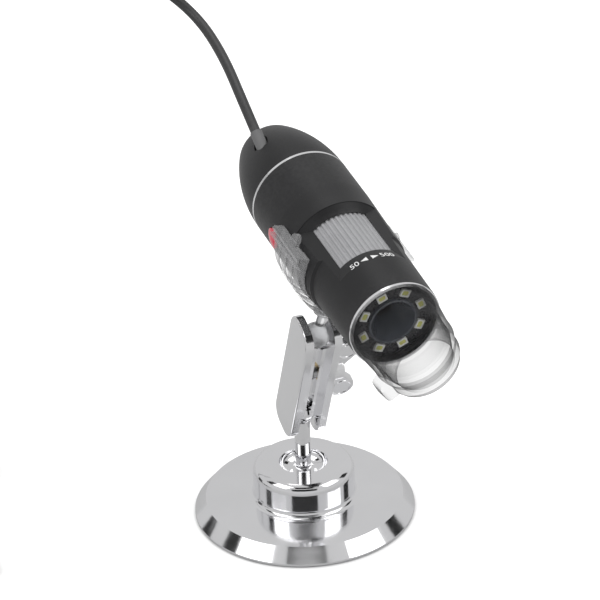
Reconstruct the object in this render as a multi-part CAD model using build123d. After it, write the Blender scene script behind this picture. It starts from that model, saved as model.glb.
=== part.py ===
from build123d import *
import math
import os

# A hand-held camera microscope in a clear clip, on a ball-jointed table stand with a round weighted base.
# Origin: centre of the base's underside. +Z is up and +X is the way that the microscope looks.
# The barrel, the arm and the upper ball each have a frame of their own, set up under "Frames" below.

os.makedirs("parts", exist_ok=True)

# Driving sizes of the stand
base_r = 36.0                # outer radius of the base
lower_ball_z = 36.8          # height of the lower ball's centre
ball_r = 4.3                 # both balls
arm_span = 39.5              # between the two ball centres
arm_lean = 23.7              # degrees that the arm leans forward
arm_turn = -1.9              # degrees that the arm is turned on its post
stem_reach = 31.4            # from the upper ball's centre to the barrel's axis
clip_roll = 14.1             # degrees that the clip's stem is rolled about the barrel
barrel_pitch = 8.9           # degrees that the barrel points down
clip_station = 31.15         # from the barrel's rear ring to the clip's stem

# Driving sizes of the barrel, along its axis from the rear ring
barrel_len = 70.2
barrel_r = 16.7
barrel_step_back = 26.7      # from its front edge back to the fine step, just ahead of the clip
barrel_front_r = 14.85
hood_len = 21.6
shell_bore_r = 14.2          # bore that holds the focus wheel and the chassis

# Clearances and the overrun of cuts
overrun = 1.0
running_gap = 0.05           # radial, a pin or shaft that turns in its bore
socket_gap = 0.08            # a ball in its two dished plates
free_gap = 0.3               # curved faces of two bodies that face each other
seat_gap = 0.1               # flat faces of two bodies that face each other
fit_gap = 0.2                # round a piece that drops into its place

# Base cover: a pressed and plated shell
rim_low_z = 0.5
rim_top_z = 1.2
plateau_r = 32.34
plateau_z = 5.57
hub_foot_r = 18.5
hub_foot_z = 6.2
hub_r = 16.6
cove_top_z = 8.6
cove_mid_r = 17.1
cove_mid_z = 6.75
hub_side_z = 14.5
shoulder_mid_r = 16.0
shoulder_mid_z = 16.6
hub_top_r = 14.6
hub_top_z = 17.8
dish_r = 7.9
dish_mid_r = 6.8
dish_mid_z = 14.9
dish_floor_r = 4.4
dish_floor_z = 13.6
cover_wall = 1.3

# Pad and weight under the cover
pad_r = 34.6
pad_t = 1.2
stud_r = 2.0
nut_flats = 7.0
nut_t = 3.2

# Post that carries the lower ball
post_r = 2.6
post_foot_r = 3.6
post_foot_t = 1.0
swivel_pin_r = 1.6
swivel_pin_over = 1.6        # how far the pin reaches past the ball's centre

# Arm plates, in the arm's frame: X across the plates, Y through them, Z from ball to ball
plate_inner_y = 3.5
plate_outer_y = 6.2
plate_half_w = 7.1
plate_past_ball = 6.3
plate_corner_r = 5.3
plate_edge_r = 0.6
web_y = 0.95                 # half of the gap between the two webs
web_half_w = 4.5
web_round_r = 4.9            # the webs end in a curve round each ball
screw_r = 1.95
screw_hole_r = 2.15
screw_tip_y = 4.9
insert_r = 3.2
insert_len = 3.2

# Wing knob
washer_r = 4.2
washer_t = 0.5
knob_hub_r = 4.0
knob_hub_len = 4.3
knob_edge_r = 0.6
wing_reach = 9.6
wing_y = 12.0
wing_r = 4.3
wing_t = 3.0
wing_root_r = 1.7
wing_root_reach = 2.1
wing_root_rise = 2.0

# Upper ball's neck and pin, in its own frame: Z up the stem
waist_r = 1.40               # slim part of the neck, between the two plates
waist_top_z = 8.3
neck_r = 2.2
collar_r = 3.1
collar_t = 0.8
collar_top_z = 9.3
boss_r = 3.5
boss_root_r = 4.6
stem_pin_len = 4.0

# Clip, in its own frame: X along the barrel, Z up, with its stem's axis at X = 0
clip_back_x = 9.95
clip_front_x = 9.05
clip_outer_r = 18.4
clip_open_angle = 79.5       # degrees from the top to each jaw's end
jaw_t = 3.5
jaw_inner_r = 16.95
jaw_outer_r = 20.6
jaw_groove_w = 1.1
jaw_groove_depth = 0.9
jaw_edge_r = 0.5
tab_w = 4.0
tab_reach = 3.3
tab_t = 1.4
tab_x = 0.25
tab_inner_r = 17.3
clip_rib_t = 0.9
clip_rib_h = 0.5
clip_rib_shares = (0.25, 0.5, 0.75)   # of the clip's length

# Barrel shell
trim_w = 0.9
trim_proud = 0.02
shell_taper_x = 18.0
step_before_r = 16.0
step_after_r = 15.3
step_w = 0.9
ledge_back = 10.2            # counted back from the front edge
ledge_bore_r = 12.4
led_seat_back = 3.4
front_trim_w = 1.0
front_trim_r = 14.75
front_trim_bore_r = 13.7

# Scoop over the focus wheel: a sloped recess with a window at its bottom
scoop_rear_x = 28.0
scoop_front_back = 13.2      # counted back from the barrel's front edge
window_rear_x = 30.8
window_front_back = 18.8
scoop_mid_angle = 6.5        # degrees from the top, towards -Y
scoop_half_angle = 50.5
window_half_angle = 38.0
scoop_rear_r = 16.2
scoop_front_r = 15.25

# Tail cap and the cable gland in it
tail_side_arc_r = 57.0       # the long arc of the dome's side
tail_nose_arc_r = 12.0       # the round of its tip
tail_wall = 2.0
spigot_wall = 1.3
spigot_len = 4.5
gland_pitch = 22.7           # degrees that the cable's exit is tilted up from the barrel's axis
gland_end_x = -19.7
gland_end_y = -7.8
gland_end_z = 13.8
gland_r = 1.95
gland_recess_r = 2.6
gland_recess_low = 6.2       # from the gland's end back to the recess's floor
gland_len = 11.2
gland_flange_r = 2.45
gland_flange_t = 1.2
gland_boss_r = 4.2

# Chassis, wheel and lenses inside the barrel
flange_x = 26.0
flange_t = 2.0
flange_bore_r = 8.6
chassis_r = 11.8
chassis_bore_r = 10.4
chassis_end_back = 6.2       # counted back from the barrel's front edge
retainer_len = 5.8
wheel_rib_count = 54
wheel_rib_cut_r = 0.5
wheel_rib_depth = 0.4
focus_travel = 1.1           # millimetres that the lens moves for each radian of the wheel
focus_half_range = 143.0     # degrees that the wheel turns to each side
cam_margin = 8.0             # degrees of slot past each end of the range
cam_pin_r = 1.2
cam_slot_gap = 0.25
cam_slot_depth = 0.9
cam_pin_reach = 0.6          # into the wheel
cam_cut_count = 32
carrier_len_share = 0.5426   # of the wheel's length
cam_pin_share = 0.6512       # of the wheel's length
carrier_bore_r = 6.5
lens_barrel_set = 2.0        # from the carrier's rear to the lens tube's
lens_barrel_over = 3.0       # from the carrier's front to the lens tube's
lens_bore_r = 5.0
lens_lip = 0.8
rear_lens_t = 2.4
front_lens_t = 2.8
lens_curve_r = 12.0
lens_ring_len = 1.2

# Lamp ring and light shield at the front
led_board_r = 13.4
led_board_bore_r = 7.9
led_board_t = 1.2
led_count = 8
led_ring_r = 10.0
led_phase = 22.5
led_w = 3.2
led_h = 2.6
led_t = 0.8
shroud_wall = 0.7
shroud_mouth_back = 1.0      # counted back from the barrel's front edge
shroud_throat_back = 9.6
shroud_throat_r = 3.6
shroud_flange_r = 11.4
shroud_flange_t = 1.0

# Clear hood in front, as (share of its length, outer radius)
hood_wall = 1.3
hood_spigot_len = 1.7
hood_spigot_wall = 0.9
hood_rear_r = 14.4
hood_step_r = 13.9
hood_mid_r = 13.2
hood_nose_r = 12.1
hood_rim_r = 11.1
hood_mouth_r = 9.4
hood_rim_t = 1.2
hood_step_share = 0.16
hood_mid_shares = (0.48, 0.62)
hood_nose_shares = (0.77, 0.9)
lug_angle = 127.0            # degrees from the top, towards -Y
lug_reach_r = 15.5
lug_len = 7.5
lug_w = 5.0
lug_back = 0.9               # from the hood's rim back to the lug's front
lug_corner_r = 2.0

# Boards, button and screws in the rear of the barrel
button_x = 16.4
button_angle = 92.0          # degrees from the top, towards -Y
button_r = 3.3
button_gap = 0.15
button_proud = 1.0
button_dome = 0.7
button_flange_r = 4.2
button_flange_t = 0.8
button_travel = 0.5
board_t = 1.1
main_board_half_w = 8.4
main_board_top_r = 10.9
main_board_rear_x = 6.0
main_board_gap = 0.3
switch_w = 4.6
switch_t = 0.7
plunger_r = 1.2
plunger_gap = 0.05
chip_w = 6.0
chip_t = 1.0
chip_x_back = 5.2
sensor_board_r = 12.6
sensor_w = 6.2
sensor_t = 1.4
board_screw_count = 3
board_screw_ring_r = 11.2
board_screw_r = 0.8
board_screw_head_r = 1.3
board_screw_head_t = 0.9
board_screw_len = 3.0

# Cable: a slim round lead with a flat rectangular plug
cable_r = 1.65
exit_run = 11.2
coil_x = -70.6
coil_y = -101.0
coil_outer_r = 13.9          # of the centre line, at the outer turns
coil_pitch = 3.8
coil_layer = 3.8
coil_layers = 8
coil_start_angle = 180.0     # degrees, where the lead runs onto the coil's top
coil_layer_turns = 0.975
coil_drop_turns = 0.5        # turns in which it drops to the next layer
tie_t = 0.6
tie_w = 4.5
tie_angle = 228.0
tie_corner_r = 1.6
plug_grip_len = 21.0
plug_grip_w = 14.6
plug_grip_h = 8.2
plug_grip_edge_r = 1.4
plug_relief_len = 9.0
plug_relief_r = 2.6
plug_relief_tip_r = 2.1
plug_shell_len = 18.8
plug_shell_w = 12.0
plug_shell_h = 4.5
plug_shell_wall = 0.35
plug_shell_sunk = 6.0
plug_tongue_h = 1.9
plug_tongue_back = 0.9
plug_slot_w = 2.2
plug_slot_len = 2.6
plug_slot_x = 6.0
plug_slot_spread = 2.8

# Places along the barrel, from its rear ring
barrel_step_x = barrel_len - barrel_step_back
ledge_x = barrel_len - ledge_back
led_seat_x = barrel_len - led_seat_back
scoop_front_x = barrel_len - scoop_front_back
window_front_x = barrel_len - window_front_back
chassis_end_x = barrel_len - chassis_end_back
shroud_mouth_x = barrel_len - shroud_mouth_back
shroud_throat_x = barrel_len - shroud_throat_back
wheel_x = flange_x + flange_t + fit_gap
wheel_len = ledge_x - retainer_len - fit_gap - wheel_x
carrier_len = carrier_len_share * wheel_len
cam_pin_x = wheel_x + cam_pin_share * wheel_len
carrier_x = cam_pin_x - carrier_len / 2
lens_barrel_x = carrier_x + lens_barrel_set
lens_barrel_len = carrier_len - lens_barrel_set + lens_barrel_over

# Frames
arm_place = Pos(0, 0, lower_ball_z) * Rot(Z=arm_turn) * Rot(Y=arm_lean)
upper_ball_centre = (arm_place * Pos(0, 0, arm_span)).position
ball_place = Pos(*upper_ball_centre) * Rot(Y=barrel_pitch) * Rot(X=-clip_roll)
clip_place = ball_place * Pos(0, 0, stem_reach)
barrel_place = clip_place * Rot(X=clip_roll) * Pos(-clip_station, 0, 0)
gland_place = barrel_place * Pos(gland_end_x, gland_end_y, gland_end_z) * Rot(Y=gland_pitch - 90)

# The lead's route in the row's own frame, from the gland to the floor, chosen by hand
lead_route = (
    (-56.9, 0.8, 138.7),
    (-76.4, 0.2, 144.6),
    (-85.1, -8.6, 153.8),
    (-85.2, -20.8, 163.1),
    (-84.8, -36.0, 170.5),
    (-84.6, -54.0, 172.0),
    (-84.5, -68.5, 162.5),
    (-84.5, -76.0, 144.0),
    (-84.5, -77.3, 122.0),
    (-84.5, -77.5, 98.0),
    (-84.5, -76.8, 73.0),
    (-84.5, -76.3, 56.1),
    (-84.5, -76.3, 43.0),
    (-84.5, -79.1, 36.2),
    (-84.5, -84.1, 31.3),
)


def ring_x(inner_r, outer_r, start_x, end_x):
    """A plain ring about the X axis."""
    tube = Cylinder(outer_r, end_x - start_x)
    if inner_r > 0:
        tube -= Cylinder(inner_r, end_x - start_x)
    return Pos((start_x + end_x) / 2, 0, 0) * Rot(Y=90) * tube


def upright(radius, low_z, high_z):
    """A plain cylinder about the Z axis."""
    return Pos(0, 0, low_z) * Cylinder(radius, high_z - low_z, align=(Align.CENTER, Align.CENTER, Align.MIN))


def turned_x(points):
    """A solid turned about the X axis from a closed outline of (x, radius) points."""
    return revolve(make_face(Polyline(*points, close=True)), Axis.X)


def round_barrel(x, angle):
    """A frame on the barrel's axis whose Z points outward, angle degrees from the top towards -Y."""
    return Rot(X=angle) * Pos(x, 0, 0)


def on_slab(sketch, near_y, far_y, side):
    """A prism through one arm plate: the sketch lies across and along the arm, side is -1 or +1."""
    prism = Pos(0, 0, -side * near_y) * extrude(sketch, -side * (far_y - near_y))
    return Rot(X=90) * prism


def base_cover():
    """Plated cover with a bevelled rim, a raised hub and a dish round the post."""
    outline = (
        Polyline((base_r, rim_low_z), (base_r, rim_top_z), (plateau_r, plateau_z), (hub_foot_r, hub_foot_z))
        + ThreePointArc((hub_foot_r, hub_foot_z), (cove_mid_r, cove_mid_z), (hub_r, cove_top_z))
        + Line((hub_r, cove_top_z), (hub_r, hub_side_z))
        + ThreePointArc((hub_r, hub_side_z), (shoulder_mid_r, shoulder_mid_z), (hub_top_r, hub_top_z))
        + Line((hub_top_r, hub_top_z), (dish_r, hub_top_z))
        + ThreePointArc((dish_r, hub_top_z), (dish_mid_r, dish_mid_z), (dish_floor_r, dish_floor_z))
        + Polyline((dish_floor_r, dish_floor_z), (0, dish_floor_z), (0, rim_low_z), (base_r, rim_low_z))
    )
    blank = Rot(X=90) * make_face(outline)
    cover = revolve(blank, Axis.Z)
    cover -= upright(pad_r, 0, pad_t)
    cover -= upright(weight_r + fit_gap, 0, plateau_z - cover_wall)
    cover -= upright(slug_r + fit_gap, 0, dish_floor_z - cover_wall)
    return cover - upright(stud_r, 0, dish_floor_z + overrun)


# The weight fills the room under the cover
weight_r = plateau_r - cover_wall - fit_gap
slug_r = hub_r - cover_wall - fit_gap
weight_top_z = plateau_z - cover_wall - fit_gap
slug_top_z = dish_floor_z - cover_wall - fit_gap
nut_seat_z = pad_t + nut_t + fit_gap
nut_pocket_r = nut_flats / math.sqrt(3) + fit_gap


def base_weight():
    """Cast disc with a slug that stands up inside the hub, pocketed for the nut."""
    weight = upright(weight_r, pad_t, weight_top_z) + upright(slug_r, pad_t, slug_top_z)
    weight -= upright(stud_r + fit_gap, pad_t, slug_top_z + overrun)
    weight -= upright(nut_pocket_r, pad_t - overrun, nut_seat_z)
    return weight


def base_pad():
    """Round foam pad stuck into the rim."""
    return upright(pad_r, 0, pad_t)


# The lower ball is cut flat where the post meets it
ball_flat = math.sqrt(ball_r ** 2 - post_r ** 2)
post_top_z = lower_ball_z - ball_flat - seat_gap
stud_low_z = nut_seat_z - nut_t


def post():
    """Turned post: stud, foot ring, shaft and the pin that the lower ball turns on."""
    shaft = upright(stud_r, stud_low_z, dish_floor_z)
    shaft += upright(post_foot_r, dish_floor_z, dish_floor_z + post_foot_t)
    shaft += upright(post_r, dish_floor_z, post_top_z)
    shaft += upright(swivel_pin_r, dish_floor_z, lower_ball_z + swivel_pin_over)
    return shaft


def post_nut():
    """Hexagon nut under the weight."""
    nut = extrude(RegularPolygon(nut_flats / 2, 6, major_radius=False), nut_t)
    nut = Pos(0, 0, stud_low_z) * nut
    return nut - upright(stud_r, 0, dish_floor_z)


def lower_ball():
    """Chromed ball that turns on the post's pin."""
    ball = Pos(0, 0, lower_ball_z) * Sphere(ball_r)
    ball -= upright(ball_r, 0, lower_ball_z - ball_flat)
    pocket_top_z = lower_ball_z + swivel_pin_over + seat_gap
    return ball - upright(swivel_pin_r + running_gap, 0, pocket_top_z)


def arm_plate(side):
    """One clamp plate: a thick outer shell with a narrower web inside, dished for both balls."""
    plate_len = arm_span + 2 * plate_past_ball
    outline = Pos(0, arm_span / 2) * RectangleRounded(2 * plate_half_w, plate_len, plate_corner_r)
    shell = extrude(outline, plate_outer_y - plate_inner_y)
    shell = fillet(shell.faces().sort_by(Axis.Z)[-1].edges(), plate_edge_r)
    shell = Pos(0, 0, plate_inner_y) * shell
    if side > 0:
        shell = Rot(Y=180) * shell
    shell = Rot(X=90) * shell
    web_sketch = Pos(0, arm_span / 2) * Rectangle(2 * web_half_w, arm_span)
    web_sketch -= Circle(web_round_r)
    web_sketch -= Pos(0, arm_span) * Circle(web_round_r)
    plate = shell + on_slab(web_sketch, web_y, plate_inner_y + plate_edge_r, side)
    for ball_z in (0, arm_span):
        plate -= Pos(0, 0, ball_z) * Sphere(ball_r + socket_gap)
    middle = Pos(0, arm_span / 2)
    if side > 0:
        plate -= on_slab(middle * Circle(screw_hole_r), 0, plate_outer_y + overrun, side)
    else:
        plate -= on_slab(middle * Circle(insert_r), 0, web_y + insert_len, side)
        plate -= on_slab(middle * Circle(screw_hole_r), 0, screw_tip_y + fit_gap, side)
    return plate


def arm_insert():
    """Threaded bush pressed into the left plate, its thread as a plain bore."""
    ring = Circle(insert_r) - Circle(screw_r + running_gap)
    return on_slab(Pos(0, arm_span / 2) * ring, web_y, web_y + insert_len, -1)


def arm_washer():
    """Flat washer under the knob."""
    ring = Circle(washer_r) - Circle(screw_hole_r)
    return on_slab(Pos(0, arm_span / 2) * ring, plate_outer_y, plate_outer_y + washer_t, 1)


knob_seat_y = plate_outer_y + washer_t + seat_gap


def wing_knob():
    """Hub with two round wings that stand out to both sides, in the plane of the screw."""
    hub = Rot(X=-90) * Pos(0, 0, knob_seat_y) * Cylinder(
        knob_hub_r, knob_hub_len, align=(Align.CENTER, Align.CENTER, Align.MIN))
    hub = fillet(hub.edges().sort_by(Axis.Y)[-1], knob_edge_r)
    knob = hub
    for side in (-1, 1):
        lobe = Pos(side * wing_reach, wing_y) * Circle(wing_r)
        root = Pos(side * wing_root_reach, knob_seat_y + wing_root_rise) * Circle(wing_root_r)
        wing = extrude(make_hull(lobe.edges() + root.edges()), wing_t / 2, both=True)
        wing = fillet(wing.faces().filter_by(Axis.Z).edges(), knob_edge_r)
        knob += Rot(Y=-90) * wing
    knob = Pos(0, 0, arm_span / 2) * knob
    bore_far_y = knob_seat_y + knob_hub_len - screw_r
    return knob - on_slab(Pos(0, arm_span / 2) * Circle(screw_r), 0, bore_far_y, 1)


def clamp_screw():
    """Screw moulded into the knob; it reaches through both plates into the bush."""
    bore_far_y = knob_seat_y + knob_hub_len - screw_r
    return on_slab(Pos(0, arm_span / 2) * Circle(screw_r), -screw_tip_y, bore_far_y, 1)


def upper_ball():
    """Clear ball with a neck, a collar and the pin that the clip turns on."""
    ball = Sphere(ball_r)
    ball += upright(waist_r, 0, waist_top_z)
    ball += upright(neck_r, waist_top_z, collar_top_z)
    ball += upright(collar_r, collar_top_z - collar_t, collar_top_z)
    return ball + upright(swivel_pin_r, waist_top_z, collar_top_z + stem_pin_len)


def shell_r_at(x):
    """Outer radius of the barrel between the taper's start and the step."""
    share = (x - shell_taper_x) / (barrel_step_x - shell_taper_x)
    return barrel_r + (step_before_r - barrel_r) * max(0.0, share)


def clip():
    """Clear C-shaped clip with a flanged jaw, a thumb tab at each end and a bored boss below."""
    band_section = Polyline(
        (-clip_back_x, shell_r_at(clip_station - clip_back_x) + free_gap),
        (clip_front_x, shell_r_at(clip_station + clip_front_x) + free_gap),
        (clip_front_x, clip_outer_r),
        (-clip_back_x, clip_outer_r),
        close=True,
    )
    band_face = Rot(X=90 + clip_open_angle) * make_face(band_section)
    body = revolve(band_face, Axis.X, 2 * (180 - clip_open_angle))
    clip_len = clip_back_x + clip_front_x
    for share in clip_rib_shares:
        rib_section = Pos(-clip_back_x + share * clip_len, clip_outer_r) * Rectangle(clip_rib_t, 2 * clip_rib_h)
        body += revolve(Rot(X=90 + clip_open_angle) * rib_section, Axis.X, 2 * (180 - clip_open_angle))
    jaw_half_angle = math.degrees(jaw_t / 2 / jaw_inner_r)
    jaw_h = jaw_outer_r - jaw_inner_r
    for side in (-1, 1):
        jaw = Box(clip_len, jaw_t, jaw_h)
        jaw = fillet(jaw.edges().filter_by(Axis.X), jaw_edge_r)
        jaw -= Pos(0, 0, jaw_h / 2) * Box(clip_len + overrun, jaw_groove_w, 2 * jaw_groove_depth)
        jaw_place = Rot(X=side * (clip_open_angle + jaw_half_angle))
        jaw_mid_x = (clip_front_x - clip_back_x) / 2
        body += jaw_place * Pos(jaw_mid_x, 0, jaw_inner_r + jaw_h / 2) * jaw
        tab = Pos(0, tab_reach - tab_w / 2) * Circle(tab_w / 2)
        tab += Pos(0, (tab_reach - tab_w / 2 - jaw_t) / 2) * Rectangle(tab_w, tab_reach - tab_w / 2 + jaw_t)
        tab = extrude(tab, tab_t)
        tab_place = Rot(X=side * clip_open_angle) * Pos(tab_x, 0, tab_inner_r)
        if side > 0:
            tab_place = tab_place * Rot(Z=180)
        body += tab_place * Rot(Z=180) * tab
    boss_low_z = collar_top_z + seat_gap - stem_reach
    boss = upright(boss_r, boss_low_z, -jaw_inner_r)
    root = Cone(boss_r, boss_root_r, boss_root_r - boss_r, align=(Align.CENTER, Align.CENTER, Align.MAX))
    body += boss + Pos(0, 0, -clip_outer_r + clip_rib_h) * root
    body -= ring_x(0, jaw_inner_r, -boss_root_r, boss_root_r)
    body -= upright(swivel_pin_r + running_gap, boss_low_z - overrun, boss_low_z + stem_pin_len)
    return body


def scoop_cutter():
    """The sloped recess over the focus wheel, cut down to the window."""
    slope = turned_x((
        (scoop_rear_x, scoop_rear_r),
        (window_rear_x, shell_bore_r),
        (window_front_x, shell_bore_r),
        (scoop_front_x, scoop_front_r),
        (scoop_front_x, barrel_r + overrun),
        (scoop_rear_x, barrel_r + overrun),
    ))
    well = ring_x(shell_bore_r - overrun, shell_bore_r, window_rear_x, window_front_x)
    inner_y = shell_bore_r * math.sin(math.radians(window_half_angle))
    inner_z = shell_bore_r * math.cos(math.radians(window_half_angle))
    outer_y = shell_r_at(window_front_x) * math.sin(math.radians(scoop_half_angle))
    outer_z = shell_r_at(window_front_x) * math.cos(math.radians(scoop_half_angle))
    past_y = outer_y + (outer_y - inner_y)
    past_z = outer_z + (outer_z - inner_z)
    floor_share = 0.8
    side_walls = Polyline(
        (-past_y, past_z), (-inner_y, inner_z), (-inner_y * floor_share, inner_z * floor_share),
        (inner_y * floor_share, inner_z * floor_share), (inner_y, inner_z), (past_y, past_z),
        (past_y, barrel_r + overrun), (-past_y, barrel_r + overrun), close=True,
    )
    walls_face = Rot(Z=90) * Rot(X=90) * make_face(side_walls)
    walls = Pos(scoop_rear_x, 0, 0) * extrude(walls_face, scoop_front_x - scoop_rear_x, dir=(1, 0, 0))
    return Rot(X=scoop_mid_angle) * ((slope + well) & walls)


def barrel_shell():
    """One-piece dark barrel with the scoop, the button's hole and a ledge for the lamp board."""
    front_x = barrel_len - front_trim_w / 2
    rear_x = trim_w / 2
    shell = turned_x((
        (rear_x, shell_bore_r),
        (rear_x, barrel_r),
        (shell_taper_x, barrel_r),
        (barrel_step_x, step_before_r),
        (barrel_step_x + step_w, step_after_r),
        (front_x, barrel_front_r),
        (front_x, front_trim_bore_r),
        (led_seat_x, front_trim_bore_r),
        (led_seat_x, ledge_bore_r),
        (ledge_x, ledge_bore_r),
        (ledge_x, shell_bore_r),
    ))
    shell -= scoop_cutter()
    hole = Cylinder(button_r + button_gap, barrel_r, align=(Align.CENTER, Align.CENTER, Align.MIN))
    return shell - round_barrel(button_x, button_angle) * Pos(0, 0, ledge_bore_r) * hole


def dome(outer_r, side_arc_r, nose_arc_r, end_x):
    """A dome behind end_x: a long side arc that starts parallel to the axis, and a round tip."""
    turn = math.acos((side_arc_r - outer_r) / (side_arc_r - nose_arc_r))
    side_centre_r = outer_r - side_arc_r
    nose_x = end_x - (side_arc_r - nose_arc_r) * math.sin(turn)
    join = (nose_x - nose_arc_r * math.sin(turn), nose_arc_r * math.cos(turn))
    side_mid = (
        end_x - side_arc_r * math.sin(turn / 2),
        side_centre_r + side_arc_r * math.cos(turn / 2),
    )
    nose_mid_turn = (turn + math.pi / 2) / 2
    nose_mid = (nose_x - nose_arc_r * math.sin(nose_mid_turn), nose_arc_r * math.cos(nose_mid_turn))
    tip = (nose_x - nose_arc_r, 0)
    outline = ThreePointArc((end_x, outer_r), side_mid, join) + ThreePointArc(join, nose_mid, tip)
    outline += Polyline(tip, (end_x, 0), (end_x, outer_r))
    return revolve(make_face(outline), Axis.X)


def gland_axis_place(depth):
    """A frame on the gland's axis in the barrel's frame, depth below its outer end, Z outward."""
    return Pos(gland_end_x, gland_end_y, gland_end_z) * Rot(Y=gland_pitch - 90) * Pos(0, 0, -depth)


def tail_cap():
    """Domed cap with a spigot that fits the barrel and a boss inside for the gland."""
    end_x = -trim_w / 2
    outer = dome(barrel_r, tail_side_arc_r, tail_nose_arc_r, end_x)
    bore_r = shell_bore_r - spigot_wall / 2
    inner = dome(bore_r, tail_side_arc_r - tail_wall, tail_nose_arc_r - tail_wall, end_x)
    cap = outer - inner
    cap += ring_x(shell_bore_r - spigot_wall, shell_bore_r, end_x - tail_wall, spigot_len)
    upward = Align.CENTER, Align.CENTER, Align.MIN
    boss = gland_axis_place(gland_len - gland_flange_t) * Cylinder(gland_boss_r, gland_len, align=upward)
    cap += boss & outer
    cap -= gland_axis_place(gland_len) * Cylinder(gland_r, gland_len + overrun, align=upward)
    flange_room = Cylinder(gland_flange_r, gland_len, align=(Align.CENTER, Align.CENTER, Align.MAX))
    cap -= gland_axis_place(gland_len - gland_flange_t) * flange_room
    return cap - gland_axis_place(gland_recess_low) * Cylinder(gland_recess_r, gland_len, align=upward)


def cable_gland():
    """Grey strain relief with a flange inside the cap."""
    upward = Align.CENTER, Align.CENTER, Align.MIN
    sleeve = Cylinder(gland_r, gland_len, align=upward) + Cylinder(gland_flange_r, gland_flange_t, align=upward)
    return gland_axis_place(gland_len) * sleeve


def rear_trim_ring():
    """Thin bright ring between the tail cap and the barrel."""
    return ring_x(shell_bore_r, barrel_r + trim_proud, -trim_w / 2, trim_w / 2)


def front_trim_ring():
    """Thin bright ring on the barrel's front edge."""
    front_x = barrel_len + front_trim_w / 2
    return ring_x(front_trim_bore_r, front_trim_r, front_x - front_trim_w, front_x)


wheel_r = shell_bore_r - free_gap
wheel_bore_r = chassis_r + running_gap
carrier_r = chassis_bore_r - running_gap
focus_half_travel = focus_travel * math.radians(focus_half_range)


def chassis():
    """Inner tube with a rear flange; the focus wheel turns on it and the lens carrier slides in it."""
    frame = ring_x(chassis_bore_r, chassis_r, flange_x, chassis_end_x)
    frame += ring_x(flange_bore_r, shell_bore_r, flange_x, flange_x + flange_t)
    slot_half_len = focus_half_travel + cam_pin_r + cam_slot_gap
    slot = Box(2 * slot_half_len, 2 * (cam_pin_r + cam_slot_gap), chassis_r)
    frame -= Pos(cam_pin_x, 0, -chassis_r) * slot
    for turn in range(board_screw_count):
        hole = ring_x(0, board_screw_r, flange_x - overrun, flange_x + flange_t - fit_gap)
        frame -= Rot(X=turn * 360 / board_screw_count) * Pos(0, 0, board_screw_ring_r) * hole
    return frame


def wheel_retainer():
    """Ring that keeps the wheel on the chassis and stops against the barrel's ledge."""
    return ring_x(chassis_r, shell_bore_r, wheel_x + wheel_len + fit_gap, ledge_x)


def focus_wheel():
    """Ribbed ring; a helical slot inside it drives the lens carrier's pin."""
    section = Circle(wheel_r) - Circle(wheel_bore_r)
    cut = Circle(wheel_rib_cut_r)
    cut_centre_r = wheel_r + wheel_rib_cut_r - wheel_rib_depth
    section -= PolarLocations(cut_centre_r, wheel_rib_count) * cut
    wheel = Pos(wheel_x, 0, 0) * Rot(Y=90) * extrude(section, wheel_len)
    sweep_angle = 2 * (focus_half_range + cam_margin)
    step_angle = sweep_angle / cam_cut_count
    slot_floor_r = wheel_bore_r + cam_slot_depth
    cut_len = 1.5 * slot_floor_r * math.radians(step_angle)
    lead_angle = math.degrees(math.atan(focus_travel / slot_floor_r))
    block = Box(2 * (cam_pin_r + cam_slot_gap), cut_len, 2 * cam_slot_depth)
    cuts = []
    for step in range(cam_cut_count + 1):
        angle = step * step_angle - sweep_angle / 2
        shift = -focus_travel * math.radians(angle)
        place = Rot(X=180 + angle) * Pos(cam_pin_x + shift, 0, slot_floor_r - cam_slot_depth) * Rot(Z=-lead_angle)
        cuts.append(place * block)
    return wheel - cuts


def lens_carrier():
    """Sliding tube that holds the lens barrel, with the cam pin that the wheel drives."""
    carrier = ring_x(carrier_bore_r, carrier_r, carrier_x, carrier_x + carrier_len)
    pin_root_r = (carrier_bore_r + carrier_r) / 2
    return carrier + Pos(cam_pin_x, 0, 0) * upright(cam_pin_r, -wheel_bore_r - cam_pin_reach, -pin_root_r)


def lens_barrel():
    """Black tube with a lip at each lens seat."""
    end_x = lens_barrel_x + lens_barrel_len
    tube = ring_x(lens_bore_r, carrier_bore_r, lens_barrel_x, end_x)
    rear_lip_x = lens_barrel_x + rear_lens_t
    tube += ring_x(lens_bore_r - lens_lip, lens_bore_r, rear_lip_x, rear_lip_x + lens_lip)
    front_lip_x = end_x - lens_ring_len - front_lens_t - lens_lip
    return tube + ring_x(lens_bore_r - lens_lip, lens_bore_r, front_lip_x, front_lip_x + lens_lip)


def lens_disc(thickness):
    """A lens about the X axis, flat behind and domed in front."""
    return ring_x(0, lens_bore_r, 0, thickness) & Pos(thickness - lens_curve_r, 0, 0) * Sphere(lens_curve_r)


def front_lens():
    """Objective lens, domed towards the subject."""
    return Pos(lens_barrel_x + lens_barrel_len - lens_ring_len - front_lens_t, 0, 0) * lens_disc(front_lens_t)


def rear_lens():
    """Rear lens, domed towards the sensor."""
    return Pos(lens_barrel_x + rear_lens_t, 0, 0) * Rot(Z=180) * lens_disc(rear_lens_t)


def lens_retainer():
    """Ring that holds the front lens."""
    end_x = lens_barrel_x + lens_barrel_len
    return ring_x(lens_bore_r - lens_lip, lens_bore_r, end_x - lens_ring_len, end_x)


def led_board():
    """Black ring board that carries the lamps."""
    return ring_x(led_board_bore_r, led_board_r, led_seat_x, led_seat_x + led_board_t)


def leds():
    """Ring of flat lamps on the board."""
    board_front_x = led_seat_x + led_board_t
    lamp = Box(led_t, led_w, led_h, align=(Align.MIN, Align.CENTER, Align.CENTER))
    lamps = [
        Rot(X=led_phase + number * 360 / led_count) * Pos(board_front_x, 0, led_ring_r) * lamp
        for number in range(led_count)
    ]
    return Compound(children=lamps)


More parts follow.
